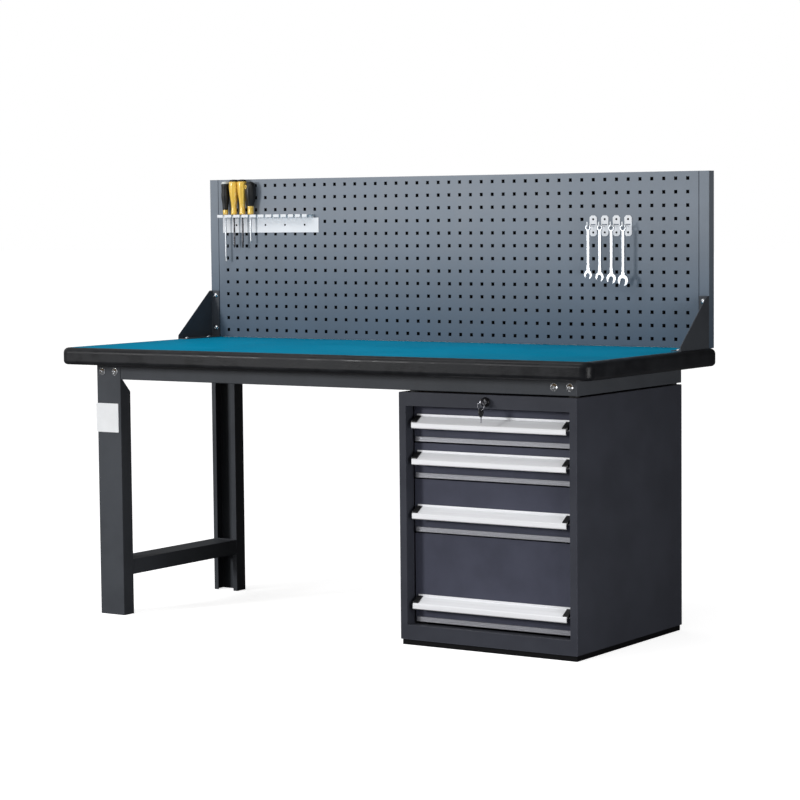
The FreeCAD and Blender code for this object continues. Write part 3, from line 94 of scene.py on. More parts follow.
def feed(tree, socket, source):
    """Links a source into a socket, or sets the socket when the source is a plain value."""
    if isinstance(source, bpy.types.NodeSocket):
        tree.links.new(source, socket)
    else:
        socket.default_value = source


def math_node(tree, operation, first, second=0.0, clamp=False):
    """One sum: MULTIPLY, ADD, GREATER_THAN and so on."""
    node = tree.nodes.new("ShaderNodeMath")
    node.operation = operation
    node.use_clamp = clamp
    feed(tree, node.inputs[0], first)
    feed(tree, node.inputs[1], second)
    return node.outputs[0]


def ramp(tree, value, low, high, to_low=0.0, to_high=1.0):
    """Maps a span of values onto another, smoothly and clamped at both ends."""
    node = tree.nodes.new("ShaderNodeMapRange")
    node.interpolation_type = "SMOOTHSTEP"
    for name, source in (("Value", value), ("From Min", low), ("From Max", high),
                         ("To Min", to_low), ("To Max", to_high)):
        feed(tree, node.inputs[name], source)
    return node.outputs[0]


def blend_colour(tree, share, first, second):
    """The first colour at a share of 0 and the second at 1."""
    node = tree.nodes.new("ShaderNodeMix")
    node.data_type = "RGBA"
    feed(tree, node.inputs[0], share)
    feed(tree, node.inputs[6], first)
    feed(tree, node.inputs[7], second)
    return node.outputs[2]


def noise(tree, place, scale, detail=3.0, roughness=0.55):
    """Soft random patches; the scale is in patches per metre."""
    node = tree.nodes.new("ShaderNodeTexNoise")
    feed(tree, node.inputs["Vector"], place)
    feed(tree, node.inputs["Scale"], scale)
    feed(tree, node.inputs["Detail"], detail)
    feed(tree, node.inputs["Roughness"], roughness)
    return node.outputs[0]


def stretched(tree, place, factors):
    """A place with each axis scaled, which draws a pattern out along the smallest factor."""
    node = tree.nodes.new("ShaderNodeVectorMath")
    node.operation = "MULTIPLY"
    feed(tree, node.inputs[0], place)
    feed(tree, node.inputs[1], factors)
    return node.outputs[0]


def own_place(tree):
    """Where a point lies on the piece, in metres."""
    return tree.nodes.new("ShaderNodeTexCoord").outputs["Object"]


def axes(tree, vector):
    """The X, Y and Z of a vector as separate outputs."""
    split = tree.nodes.new("ShaderNodeSeparateXYZ")
    tree.links.new(vector, split.inputs[0])
    return split.outputs


print("node helpers are ready")

# %% [markdown]
# Effects that many finishes share are node groups, made once and then given their own
# values in each material. A group here puts out only masks and heights. The shader
# itself stays in the material, where the export can read it.

# %% Group helpers


def new_group(name, inputs, outputs):
    """An empty group with named inputs (name, kind, value) and outputs (name, kind)."""
    group = bpy.data.node_groups.new(name, "ShaderNodeTree")
    for title, kind, value in inputs:
        socket = group.interface.new_socket(name=title, in_out="INPUT", socket_type=kind)
        socket.default_value = value
    for title, kind in outputs:
        group.interface.new_socket(name=title, in_out="OUTPUT", socket_type=kind)
    given = group.nodes.new("NodeGroupInput").outputs
    return group, given, group.nodes.new("NodeGroupOutput").inputs


def place_group(tree, group, **values):
    """Puts a group into a material with its own values and returns its outputs."""
    node = tree.nodes.new("ShaderNodeGroup")
    node.node_tree = group
    for title, value in values.items():
        feed(tree, node.inputs[title.replace("_", " ")], value)
    return node.outputs


FLOAT = "NodeSocketFloat"
VECTOR = "NodeSocketVector"
print("groups pass on", FLOAT, "and", VECTOR)

# %% [markdown]
# Powder coat is sprayed as dry plastic dust and baked until it flows. It never lies quite
# flat: there is a fine orange peel about a millimetre across, and very faint cloudy
# patches where the film is thicker. One group makes both, the peel as a height for the
# bump and the patches as a mask for colour and gloss.

# %% Powder coat group
POWDER, given, wanted = new_group(
    "powder coat",
    [("Peel Scale", FLOAT, 900.0), ("Cloud Scale", FLOAT, 7.0)],
    [("Height", FLOAT), ("Clouds", FLOAT)])
spot = own_place(POWDER)
peel = noise(POWDER, spot, given["Peel Scale"], 2.0, 0.5)
POWDER.links.new(peel, wanted["Height"])
clouds = noise(POWDER, spot, given["Cloud Scale"], 4.0, 0.6)
POWDER.links.new(ramp(POWDER, clouds, 0.3, 0.7), wanted["Clouds"])
print("powder coat group:", len(POWDER.nodes), "nodes")

# %% [markdown]
# A folded or cut edge of a painted sheet catches the light as a thin pale line, because
# it is slightly round. Here the pale line is a painted highlight: the mask lightens the
# colour along edges. The Bevel node tells how far the normal would turn if the edge had a
# small radius. The turn is compared with the true normal, and a little noise breaks the
# line up so that it isn't drawn with a ruler.

# %% Edge line group
EDGES, given, wanted = new_group(
    "edge line",
    [("Reach", FLOAT, 0.0015), ("Break Scale", FLOAT, 60.0)],
    [("Mask", FLOAT), ("Soft Normal", VECTOR)])
soft = EDGES.nodes.new("ShaderNodeBevel")
soft.samples = 4
EDGES.links.new(given["Reach"], soft.inputs["Radius"])
true_normal = EDGES.nodes.new("ShaderNodeNewGeometry").outputs["Normal"]
turn = EDGES.nodes.new("ShaderNodeVectorMath")
turn.operation = "DOT_PRODUCT"
EDGES.links.new(soft.outputs[0], turn.inputs[0])
EDGES.links.new(true_normal, turn.inputs[1])
edge = ramp(EDGES, math_node(EDGES, "SUBTRACT", 1.0, turn.outputs["Value"]), 0.01, 0.2)
broken = noise(EDGES, own_place(EDGES), given["Break Scale"], 3.0, 0.7)
broken = ramp(EDGES, broken, 0.3, 0.6, 0.45, 1.0)
EDGES.links.new(math_node(EDGES, "MULTIPLY", edge, broken, True), wanted["Mask"])
EDGES.links.new(soft.outputs[0], wanted["Soft Normal"])
print("edge line group:", len(EDGES.nodes), "nodes")

# %% [markdown]
# Dust settles on faces that look up, and more in some places than in others. The mask is
# the upward part of the normal times a patchy noise, and finishes use only a few per cent
# of it, because this bench is new.

# %% Settled dust group
DUST, given, wanted = new_group(
    "settled dust",
    [("Patch Scale", FLOAT, 12.0)],
    [("Mask", FLOAT)])
facing = axes(DUST, DUST.nodes.new("ShaderNodeNewGeometry").outputs["Normal"])
upward = ramp(DUST, facing["Z"], 0.5, 1.0)
patches = ramp(DUST, noise(DUST, own_place(DUST), given["Patch Scale"], 5.0, 0.65), 0.35, 0.75)
DUST.links.new(math_node(DUST, "MULTIPLY", upward, patches, True), wanted["Mask"])
DUST_COLOUR = linear(150, 148, 142)
print("settled dust group:", len(DUST.nodes), "nodes")

# %% [markdown]
# Metal that is drawn through a die or brushed on a belt carries fine parallel lines. A
# noise whose place is squeezed across the lines and left long along them gives both
# the height of the lines and a slow change of tone from one line to the next.

# %% Drawn lines group
LINES, given, wanted = new_group(
    "drawn lines",
    [("Stretch", VECTOR, (4.0, 900.0, 900.0))],
    [("Height", FLOAT), ("Tone", FLOAT)])
along = stretched(LINES, own_place(LINES), given["Stretch"])
LINES.links.new(noise(LINES, along, 1.0, 3.0, 0.6), wanted["Height"])
tone = noise(LINES, stretched(LINES, along, (0.5, 0.12, 0.12)), 1.0, 3.0, 0.6)
LINES.links.new(ramp(LINES, tone, 0.3, 0.7), wanted["Tone"])
print("drawn lines group:", len(LINES.nodes), "nodes")

# %% [markdown]
# Every material starts the same way, so one helper makes it and returns its shader. A
# second one joins a height to the shader as a bump. The distance is the real depth of
# the texture in metres, which keeps it the same on every piece.

# %% Material helpers
finishes = {}
PAINT_IOR = 1.2      # how strongly each of these skins mirrors: 1 is not at all
MAT_IOR = 1.02
EDGING_IOR = 1.25
PAINT_EDGE_HIGHLIGHT_GAIN = 3.2
METAL_EDGE_HIGHLIGHT_GAIN = 1.5
FILM_SWING = 0.05    # how far roughness moves each way with the cloudy patches


def new_finish(name):
    """A material with only its shader, kept under the name of its finish."""
    material = bpy.data.materials.new(name)
    material.use_nodes = True
    tree = material.node_tree
    finishes[name] = material
    return tree, tree.nodes["Principled BSDF"].inputs


def add_bump(tree, sockets, height, depth, strength=1.0, over=None):
    """Feeds a height to the normal as a bump of a real depth, over an edge normal if given."""
    bump = tree.nodes.new("ShaderNodeBump")
    bump.inputs["Strength"].default_value = strength
    bump.inputs["Distance"].default_value = depth
    tree.links.new(height, bump.inputs["Height"])
    if over is not None:
        tree.links.new(over, bump.inputs["Normal"])
    tree.links.new(bump.outputs[0], sockets["Normal"])


def layered(tree, tint, mask, share, colour):
    """A tint with another colour laid over it where a mask is, up to a share."""
    return blend_colour(tree, math_node(tree, "MULTIPLY", mask, share), tint, colour)


def vary_roughness(tree, sockets, mask, low, high):
    """Roughness between two values, following a mask."""
    tree.links.new(ramp(tree, mask, 0.0, 1.0, low, high), sockets["Roughness"])


def painted(name, colour, roughness, line=0.5, dust=0.05, clouds=0.10, peel=900.0, depth=0.00006,
            reach=0.0014):
    """Powder-coated sheet: cloudy tone, pale edge lines as a painted highlight, a little dust and an
    orange peel.
    """
    tree, sockets = new_finish(name)
    coat = place_group(tree, POWDER, Peel_Scale=peel, Cloud_Scale=6.0)
    edges = place_group(tree, EDGES, Reach=reach, Break_Scale=45.0)
    settled = place_group(tree, DUST, Patch_Scale=9.0)
    tint = blend_colour(tree, coat["Clouds"], scaled(colour, 1 - clouds), scaled(colour, 1 + clouds))
    # Painted highlight: the colour is lightened along the edges.
    tint = layered(tree, tint, edges["Mask"], line, scaled(colour, PAINT_EDGE_HIGHLIGHT_GAIN))
    tint = layered(tree, tint, settled["Mask"], dust, DUST_COLOUR)
    tree.links.new(tint, sockets["Base Color"])
    rough = ramp(tree, coat["Clouds"], 0.0, 1.0, roughness - FILM_SWING, roughness + FILM_SWING)
    rough = math_node(tree, "ADD", rough, math_node(tree, "MULTIPLY", settled["Mask"], dust * 3), True)
    tree.links.new(rough, sockets["Roughness"])
    sockets["IOR"].default_value = PAINT_IOR
    add_bump(tree, sockets, coat["Height"], depth, over=edges["Soft Normal"])


print("material helpers are ready")

# %% [markdown]
# The painted steel comes in a few shades. The beams, legs and brackets are charcoal and
# the cabinet is a slightly deeper one. The drawer fronts lean a little to blue, the panel
# is a lighter blue grey, the base is black, and the rack and hooks are white.

# %% Painted finishes
painted("frame_paint", CHARCOAL, 0.42)
painted("cabinet_paint", linear(60, 62, 70), 0.42)
painted("drawer_paint", linear(71, 73, 87), 0.42)
painted("panel_paint", linear(124, 131, 140), 0.40, line=0.0, clouds=0.06)
painted("base_paint", linear(14, 14, 16), 0.5, line=0.3)
painted("white_paint", linear(226, 227, 230), 0.35, line=0.0, dust=0.04, clouds=0.03)
painted("lock_black", linear(24, 24, 27), 0.28, line=0.3, reach=0.0005, depth=0.00001)
print("painted finishes:", sorted(finishes))

# %% [markdown]
# Two things are special to the panel. Its colour goes from pale at the top to a deeper blue
# grey at the bottom: painted shade, for light that falls off down the panel. It is
# coloured in, not lit, so it stays when a lamp moves. And the folded space behind the
# holes, between the sheet and its back cover, is coloured nearly black as painted shade.
# That is what makes each hole read as a hole.

# %% Panel's painted shade, down its height and inside
panel_low, panel_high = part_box("pegboard_panel")
LOW_PAINTED_SHADE = (0.36, 0.46, 0.55, 1.0)
HIGH_NO_SHADE = (1.0, 1.0, 1.0, 1.0)
TONE_UNDER, TONE_BELOW_TOP = 0.05, 0.06
SKIN = 0.0002
tree = finishes["panel_paint"].node_tree
sockets = tree.nodes["Principled BSDF"].inputs
sprayed = sockets["Base Color"].links[0].from_socket
place = axes(tree, own_place(tree))
# Painted shade: the colour darkens towards the bottom of the panel, for light falling off down it.
height_share = ramp(tree, place["Z"], panel_low.z - TONE_UNDER, panel_high.z - TONE_BELOW_TOP)
shade_painted = stretched(tree, sprayed, blend_colour(tree, height_share, LOW_PAINTED_SHADE, HIGH_NO_SHADE))
# Painted shade: between the front sheet and the back cover the colour is set nearly black.
behind = math_node(tree, "GREATER_THAN", place["Y"], panel_low.y + SKIN)
before = math_node(tree, "LESS_THAN", place["Y"], panel_high.y - SKIN)
sideways = math_node(tree, "ABSOLUTE", place["X"])
across = math_node(tree, "LESS_THAN", sideways, panel_high.x - SKIN)
under = math_node(tree, "LESS_THAN", place["Z"], panel_high.z - SKIN)
painted_shade_inside = math_node(tree, "MULTIPLY", math_node(tree, "MULTIPLY", behind, before),
                   math_node(tree, "MULTIPLY", across, under))
tree.links.new(blend_colour(tree, painted_shade_inside, shade_painted, linear(6, 8, 12)), sockets["Base Color"])
print("the panel is dark between", round(panel_low.y, 4), "and", round(panel_high.y, 4))

# %% [markdown]
# The worktop is covered with a high-pressure laminate in a deep teal, with a fine satin
# grain so that it doesn't glare. A thin paler line runs round it where the sheet was
# trimmed flush with the edging. That line is a mask made from the distance to the rim,
# which comes from the mat's own box, so it follows the size of the top.

# %% Laminate finish
mat_low, mat_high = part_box("worktop_mat")
RIM_START, RIM_STOP = 0.001, 0.003
tree, sockets = new_finish("mat")
coat = place_group(tree, POWDER, Peel_Scale=1500.0, Cloud_Scale=3.0)
place = axes(tree, own_place(tree))
rim = []
for axis, half in (("X", mat_high.x), ("Y", mat_high.y)):
    distance = math_node(tree, "SUBTRACT", half, math_node(tree, "ABSOLUTE", place[axis]))
    rim.append(ramp(tree, distance, RIM_START, RIM_STOP, 1.0, 0.0))
rim_mask = math_node(tree, "MAXIMUM", rim[0], rim[1])
tint = blend_colour(tree, coat["Clouds"], linear(2, 138, 176), linear(4, 150, 190))
speck = ramp(tree, noise(tree, own_place(tree), 2600.0, 1.0, 0.5), 0.58, 0.72)
tint = layered(tree, tint, speck, 0.12, linear(90, 170, 190))
tint = layered(tree, tint, rim_mask, 0.75, linear(120, 170, 184))
settled = place_group(tree, DUST, Patch_Scale=6.0)
tint = layered(tree, tint, settled["Mask"], 0.03, DUST_COLOUR)
tree.links.new(tint, sockets["Base Color"])
vary_roughness(tree, sockets, coat["Clouds"], 0.34, 0.42)
sockets["IOR"].default_value = MAT_IOR
add_bump(tree, sockets, coat["Height"], 0.00004)
print("laminate covers", [round(v, 3) for v in mat_high - mat_low])

# %% [markdown]
# The edging is a thick black moulding pressed round the board. It is softer than the
# laminate and has a leathery grain from the mould, so its highlight is broad and
# mottled. Two noises make it: a coarse one for the mottling and a fine one for grain.

# %% Edging finish
tree, sockets = new_finish("edging")
coat = place_group(tree, POWDER, Peel_Scale=420.0, Cloud_Scale=16.0)
tint = blend_colour(tree, coat["Clouds"], linear(20, 21, 24), linear(34, 35, 38))
settled = place_group(tree, DUST, Patch_Scale=25.0)
tint = layered(tree, tint, settled["Mask"], 0.05, DUST_COLOUR)
tree.links.new(tint, sockets["Base Color"])
vary_roughness(tree, sockets, coat["Clouds"], 0.30, 0.48)
sockets["IOR"].default_value = EDGING_IOR
add_bump(tree, sockets, coat["Height"], 0.00025)
print("edging finish made")


# %% [markdown]
# Metals. The handles and the label strips are drawn aluminium, anodised to a satin
# white or grey, with lines along their length. Such a skin scatters light much as paint
# does, so both are only partly metallic. The runners are zinc plated, bolts and tools
# are chromed, and the lock's inside parts and keys are nickel. They differ in colour, in
# how far the lines are drawn out and in how rough they are. The dark steel on two
# screwdriver shafts is a painted reflection: chrome that mirrors dark surroundings,
# coloured dark.

# %% Metal finishes


def metal(name, colour, roughness, stretch, depth=0.00001, spread=0.08, change=0.10, metallic=1.0,
          reach=0.0006, line=0.3):
    """Bare or plated metal with lines drawn along one axis and brighter edges, a painted highlight."""
    tree, sockets = new_finish(name)
    lines = place_group(tree, LINES, Stretch=stretch)
    edges = place_group(tree, EDGES, Reach=reach, Break_Scale=90.0)
    tint = blend_colour(tree, lines["Tone"], scaled(colour, 1 - change), scaled(colour, 1 + change))
    # Painted highlight: the colour is lightened along the edges.
    tint = layered(tree, tint, edges["Mask"], line, scaled(colour, METAL_EDGE_HIGHLIGHT_GAIN))
    tree.links.new(tint, sockets["Base Color"])
    vary_roughness(tree, sockets, lines["Tone"], roughness - spread, roughness + spread)
    sockets["Metallic"].default_value = metallic
    add_bump(tree, sockets, lines["Height"], depth, over=edges["Soft Normal"])


ALONG_X = (3.0, 1400.0, 1400.0)
ALONG_Y = (1200.0, 4.0, 1200.0)
ALONG_Z = (1200.0, 1200.0, 8.0)
metal("handle_aluminium", linear(246, 247, 250), 0.5, ALONG_X, metallic=0.1, change=0.03)
metal("trim_aluminium", linear(156, 157, 163), 0.42, ALONG_X, metallic=0.45, change=0.06)
metal("runner_steel", linear(176, 178, 178), 0.38, ALONG_Y, change=0.12)
metal("bolt_steel", linear(214, 216, 220), 0.20, (300.0, 300.0, 300.0), depth=0.000004)
metal("lock_steel", linear(186, 186, 188), 0.30, ALONG_Y)
metal("key_steel", linear(176, 176, 182), 0.26, ALONG_Z, depth=0.000006)
metal("tool_steel", linear(205, 208, 212), 0.34, ALONG_Z, depth=0.000006, change=0.08, metallic=0.7)
# Painted reflection: a dark copy of the chrome, for shafts that mirror dark surroundings.
metal("driver_steel", linear(90, 90, 94), 0.30, ALONG_Z, depth=0.000006, change=0.05)
print("metal finishes made, now", len(finishes))

# %% [markdown]
# Plastics, rubber and board. They need less: a base colour that isn't quite even, a
# grain of the right size and a roughness that changes with it. The board is pressed
# from chips, so its pattern is made of flattened cells in several wood tones.

# %% Plastic, rubber and board finishes
COAT_ROUGHNESS = 0.12
CHIPS_PER_METRE = (160.0, 160.0, 420.0)


def moulded(name, colour, roughness, grain=1200.0, depth=0.00003, change=0.12, coat_weight=0.0):
    """Moulded plastic or rubber with a fine mould grain."""
    tree, sockets = new_finish(name)
    coat = place_group(tree, POWDER, Peel_Scale=grain, Cloud_Scale=35.0)
    tint = blend_colour(tree, coat["Clouds"], scaled(colour, 1 - change), scaled(colour, 1 + change))
    tree.links.new(tint, sockets["Base Color"])
    vary_roughness(tree, sockets, coat["Clouds"], roughness - FILM_SWING, roughness + FILM_SWING)
    sockets["Coat Weight"].default_value = coat_weight
    sockets["Coat Roughness"].default_value = COAT_ROUGHNESS
    add_bump(tree, sockets, coat["Height"], depth)


moulded("cap_plastic", linear(18, 18, 20), 0.45)
moulded("spacer_rubber", linear(30, 30, 30), 0.75, grain=700.0)
moulded("label", linear(236, 238, 240), 0.38, change=0.02)
moulded("grip", linear(238, 196, 84), 0.30, coat_weight=0.5, change=0.06)
moulded("grip_black", linear(13, 14, 14), 0.50, grain=900.0, depth=0.00006)
moulded("grip_silver", linear(206, 210, 208), 0.32, change=0.05)

tree, sockets = new_finish("board")
cells = tree.nodes.new("ShaderNodeTexVoronoi")
cells.inputs["Scale"].default_value = 1.0
tree.links.new(stretched(tree, own_place(tree), CHIPS_PER_METRE), cells.inputs["Vector"])
chip = tree.nodes.new("ShaderNodeSeparateColor")
tree.links.new(cells.outputs["Color"], chip.inputs[0])
tint = blend_colour(tree, chip.outputs[0], linear(150, 118, 80), linear(206, 176, 130))
tree.links.new(tint, sockets["Base Color"])
sockets["Roughness"].default_value = 0.8
add_bump(tree, sockets, cells.outputs["Distance"], 0.0002)
print("all finishes:", len(finishes))

# %% [markdown]
# The frame's record says which finish each of its parts has, so the parts are dressed
# from that list. Nothing about their shape is touched: only the material slots change.

# %% Dress the frame
for part in record["subparts"]:
    mesh = frame["nodes"][part["node"]].data
    mesh.materials.clear()
    mesh.materials.append(finishes[part["material_slot"]])
print("dressed", len(record["subparts"]), "parts")

# %% [markdown]
# The studio. The floor is a pale sheet that reaches far past the bench, and it glows a
# little where the camera sees it, so that it reads as a plain white ground. The sky is a
# pale dome that is brighter at the front left and dim at the right, so each face has its
# own tone. The lamps are described further down.

# %% Floor


def show(thing):
    """Puts an object in the scene."""
    bpy.context.scene.collection.objects.link(thing)


FLOOR_REACH = 60.0
FLOOR_DROP = 0.0005
FLOOR_GLOW = 0.78
floor_mesh = bpy.data.meshes.new("floor")
corners = [(-FLOOR_REACH, -FLOOR_REACH), (FLOOR_REACH, -FLOOR_REACH), (FLOOR_REACH, FLOOR_REACH),
           (-FLOOR_REACH, FLOOR_REACH)]
floor_mesh.from_pydata([(x, y, -FLOOR_DROP) for x, y in corners], [], [(0, 1, 2, 3)])
floor = bpy.data.objects.new("floor", floor_mesh)
show(floor)
tree, sockets = new_finish("floor_paint")
patch = noise(tree, own_place(tree), 1.5, 3.0, 0.5)
pale = blend_colour(tree, patch, linear(240, 240, 241), linear(246, 246, 246))
seen = tree.nodes.new("ShaderNodeLightPath").outputs["Is Camera Ray"]
tree.links.new(blend_colour(tree, seen, linear(120, 120, 120), pale), sockets["Base Color"])
sockets["Roughness"].default_value = 0.8
sockets["Emission Color"].default_value = (1.0, 1.0, 1.0, 1.0)
tree.links.new(math_node(tree, "MULTIPLY", seen, FLOOR_GLOW), sockets["Emission Strength"])
floor_mesh.materials.append(finishes["floor_paint"])
print("floor laid")

# %% Sky
SKY_FRONT = (-0.72, -0.62, 0.30)
SKY_BRIGHT, SKY_DIM = 0.80, 0.04
SKY_FROM, SKY_TO = -0.2, 0.95
world = bpy.data.worlds.new("studio")
bpy.context.scene.world = world
world.use_nodes = True
tree = world.node_tree
background = tree.nodes["Background"]
facing = tree.nodes.new("ShaderNodeVectorMath")
facing.operation = "DOT_PRODUCT"
tree.links.new(tree.nodes.new("ShaderNodeTexCoord").outputs["Generated"], facing.inputs[0])
facing.inputs[1].default_value = SKY_FRONT
level = ramp(tree, facing.outputs["Value"], SKY_FROM, SKY_TO, SKY_DIM, SKY_BRIGHT)
seen = tree.nodes.new("ShaderNodeLightPath").outputs["Is Camera Ray"]
unseen = math_node(tree, "SUBTRACT", 1.0, seen)
shown = math_node(tree, "ADD", math_node(tree, "MULTIPLY", level, unseen), seen)
tree.links.new(shown, background.inputs["Strength"])
background.inputs["Color"].default_value = (1.0, 1.0, 1.0, 1.0)
print("sky from", SKY_DIM, "to", SKY_BRIGHT)

# %% [markdown]
# Three square lamps that the camera doesn't show. The key stands at the front left and
# is small and nearly level, so the hanging tools throw their shadows sideways onto the
# panel with a soft rim. It is near enough to fall off towards the right. A low one at the
# right lifts the cabinet's side, and one above the worktop adds a faint sheen.

# %% Lamps


def aim(thing, towards):
    """Turns a lamp so that it shines along a direction."""
    thing.rotation_mode = "QUATERNION"
    thing.rotation_quaternion = Vector(towards).to_track_quat("-Z", "Y")


def soft_lamp(name, place, towards, size, power):
    """A square lamp that the camera doesn't show."""
    lamp_data = bpy.data.lights.new(name, "AREA")
    lamp_data.shape = "RECTANGLE"
    lamp_data.size, lamp_data.size_y = size
    lamp_data.energy = power
    lamp = bpy.data.objects.new(name, lamp_data)
    lamp.location = place
    lamp.visible_camera = False
    aim(lamp, towards)
    show(lamp)
    return lamp


KEY_WAY = Vector((0.51, 0.85, -0.10)).normalized()
KEY_DISTANCE = 5.0
PANEL_MIDDLE = (panel_low + panel_high) / 2
key = soft_lamp("key", PANEL_MIDDLE - KEY_WAY * KEY_DISTANCE, KEY_WAY, (0.8, 0.8), 106.0)
top_box = soft_lamp("top_box", (-0.3, -0.75, 2.15), (0.0, 0.75, -0.75), (1.9, 0.5), 9.0)
side_box = soft_lamp("side_box", (2.6, -1.0, 0.5), (-1.8, 1.0, -0.15), (0.9, 0.9), 20.0)
print("lamps:", key.name, top_box.name, side_box.name)

# %% [markdown]
# The camera stands a little above the worktop, in front of the cabinet's right side, and
# looks along the bench with a long lens, so upright lines stay upright. Its three axes
# are worked out from the turn, the downward tilt and the slight roll.

# %% Camera
CAMERA_PLACE = Vector((4.056, -6.016, 1.187))
TURN, TILT, ROLL = math.radians(33.56), math.radians(4.25), math.radians(-0.545)
SENSOR = 36.0
FOCAL_IN_WIDTHS = 3.13125
forward = Vector((-math.sin(TURN) * math.cos(TILT), math.cos(TURN) * math.cos(TILT), -math.sin(TILT)))
level_right = Vector((math.cos(TURN), math.sin(TURN), 0.0))
level_up = level_right.cross(forward)
right = level_right * math.cos(ROLL) + level_up * math.sin(ROLL)
up = level_up * math.cos(ROLL) - level_right * math.sin(ROLL)
camera_data = bpy.data.cameras.new("camera")
camera_data.sensor_width = SENSOR
camera_data.lens = SENSOR * FOCAL_IN_WIDTHS
camera = bpy.data.objects.new("camera", camera_data)
camera.matrix_world = Matrix((
    (right.x, up.x, -forward.x, CAMERA_PLACE.x),
    (right.y, up.y, -forward.y, CAMERA_PLACE.y),
    (right.z, up.z, -forward.z, CAMERA_PLACE.z),
    (0.0, 0.0, 0.0, 1.0)))
show(camera)
bpy.context.scene.camera = camera
bpy.context.scene.view_settings.view_transform = "Standard"
print("lens", round(camera_data.lens, 1), "mm")

# %% [markdown]
# The small pieces come next. The tools and keys in the loaded frame are plain stand-ins
# of the right size and place, so each is replaced by a modelled one. A helper reads
# where each tool hangs from the stand-in's own corners: it sorts them from left to right
# and starts a new tool wherever there is a gap.

# %% Piece helpers
WRENCH_GAP = 2 * MM


def boxes_along_x(node, gap):
    """Lowest and highest corners of each separate thing in a frame part, from left to right."""
    corners = frame["nodes"][node].data.vertices
    points = sorted((vertex.co.copy() for vertex in corners), key=lambda p: p.x)
    groups = [[points[0]]]
    for point in points[1:]:
        if point.x - groups[-1][-1].x > gap:
            groups.append([])
        groups[-1].append(point)
    return [(Vector([min(axis) for axis in zip(*group)]), Vector([max(axis) for axis in zip(*group)]))
            for group in groups]


def add_piece(name, mesh, finish, body, smooth=True, levels=0):
    """Puts a mesh in the scene with its finish and makes it ride on a body."""
    mesh.materials.append(finishes[finish])
    for face in mesh.polygons:
        face.use_smooth = smooth
    piece = bpy.data.objects.new(name, mesh)
    show(piece)
    if levels:
        rounding = piece.modifiers.new("rounding", "SUBSURF")
        rounding.levels = levels
        rounding.render_levels = levels
    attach(piece, body)
    return piece


def tube_faces(rings, sides):
    """Faces of a closed tube whose points lie in rings, one ring after the other."""
    faces = []
    for ring in range(rings - 1):
        for side in range(sides):
            low = ring * sides + side
            beside = ring * sides + (side + 1) % sides
            faces.append((low, beside, beside + sides, low + sides))
    faces.append(tuple(reversed(range(sides))))
    faces.append(tuple(range((rings - 1) * sides, rings * sides)))
    return faces


def turned(name, stations, count, place, shape=None):
    """A mesh turned about a vertical axis through (height, radius) stations, in millimetres.

    The shape function, if given, moves each point: it takes and returns (x, y, height).
    """
    vertices = []
    for height, radius in stations:
        for step in range(count):
            angle = 2 * math.pi * step / count
            point = (radius * math.cos(angle), radius * math.sin(angle), height)
            if shape is not None:
                point = shape(*point)
            vertices.append(Vector(place) + Vector(point) * MM)
    mesh = bpy.data.meshes.new(name)
    mesh.from_pydata(vertices, [], tube_faces(len(stations), count))
    return mesh


def wire(name, kind, thickness, points, closed, finish):
    """A round wire through points in metres, with a thickness in millimetres."""
    curve = bpy.data.curves.new(name, "CURVE")
    curve.dimensions = "3D"
    curve.bevel_depth = thickness * MM
    curve.bevel_resolution = 4
    spline = curve.splines.new(kind)
    spline.points.add(len(points) - 1)
    for point, place in zip(spline.points, points):
        point.co = (*place, 1.0)
    spline.use_cyclic_u = closed
    curve.materials.append(finishes[finish])
    piece = bpy.data.objects.new(name, curve)
    show(piece)
    return piece


print("hooks hold", len(boxes_along_x("wrenches", WRENCH_GAP)), "wrenches")

# %% [markdown]
# Screwdriver handles are moulded in two shots: a hard yellow core with a black cap or a
# black rubber sleeve over it. Each shot is a turned form of its own. The yellow ones
# have six shallow flutes in their upper part for the fingers, made by pulling the radius
# in with a cosine, and they fade out towards the neck.

# %% Screwdriver places
FULLNESS = (1.02, 1.08, 1.08, 1.04)
DRIVER_GAP = 8 * MM
driver_places = []
handle_points = [vertex.co for vertex in frame["nodes"]["screwdriver_handles"].data.vertices]
for low, high in boxes_along_x("screwdriver_shafts", DRIVER_GAP):
    middle = (low + high) / 2
    near = [point for point in handle_points if abs(point.x - middle.x) < DRIVER_GAP]
    radius = max(abs(point.y - middle.y) for point in near) / MM
    driver_places.append({
        "place": (middle.x, middle.y, high.z),
        "length": (max(point.z for point in near) - high.z) / MM,
        "radius": radius * FULLNESS[len(driver_places)],
        "shaft": (high.z - low.z) / MM,
    })
print("handles:", [(round(d["length"]), round(d["radius"], 1)) for d in driver_places])

# %% Screwdriver handles
FLUTES = 6
FLUTES_START, FLUTES_STOP = 0.30, 0.92
FLUTE_FADE = 8
HANDLE_SIDES = 48


def fluted(length, depth, start, stop):
    """Six finger flutes between two shares of the handle's length."""
    def shape(x, y, height):
        share = height / length
        window = max(0.0, min(1.0, (share - start) * FLUTE_FADE))
        window *= max(0.0, min(1.0, (stop - share) * FLUTE_FADE))
        pull = 1 - depth * window * (0.5 + 0.5 * math.cos(FLUTES * math.atan2(y, x))) ** 2
        return x * pull, y * pull, height
    return shape


def handle_part(name, driver, outline, finish, flute_depth):
    """One shot of a handle, from (share of length, share of radius) pairs."""
    stations = [(share * driver["length"], across * driver["radius"]) for share, across in outline]
    shape = None
    if flute_depth:
        shape = fluted(driver["length"], flute_depth, FLUTES_START, FLUTES_STOP)
    mesh = turned(name, stations, HANDLE_SIDES, driver["place"], shape)
    return add_piece(name, mesh, finish, "bench", levels=1)


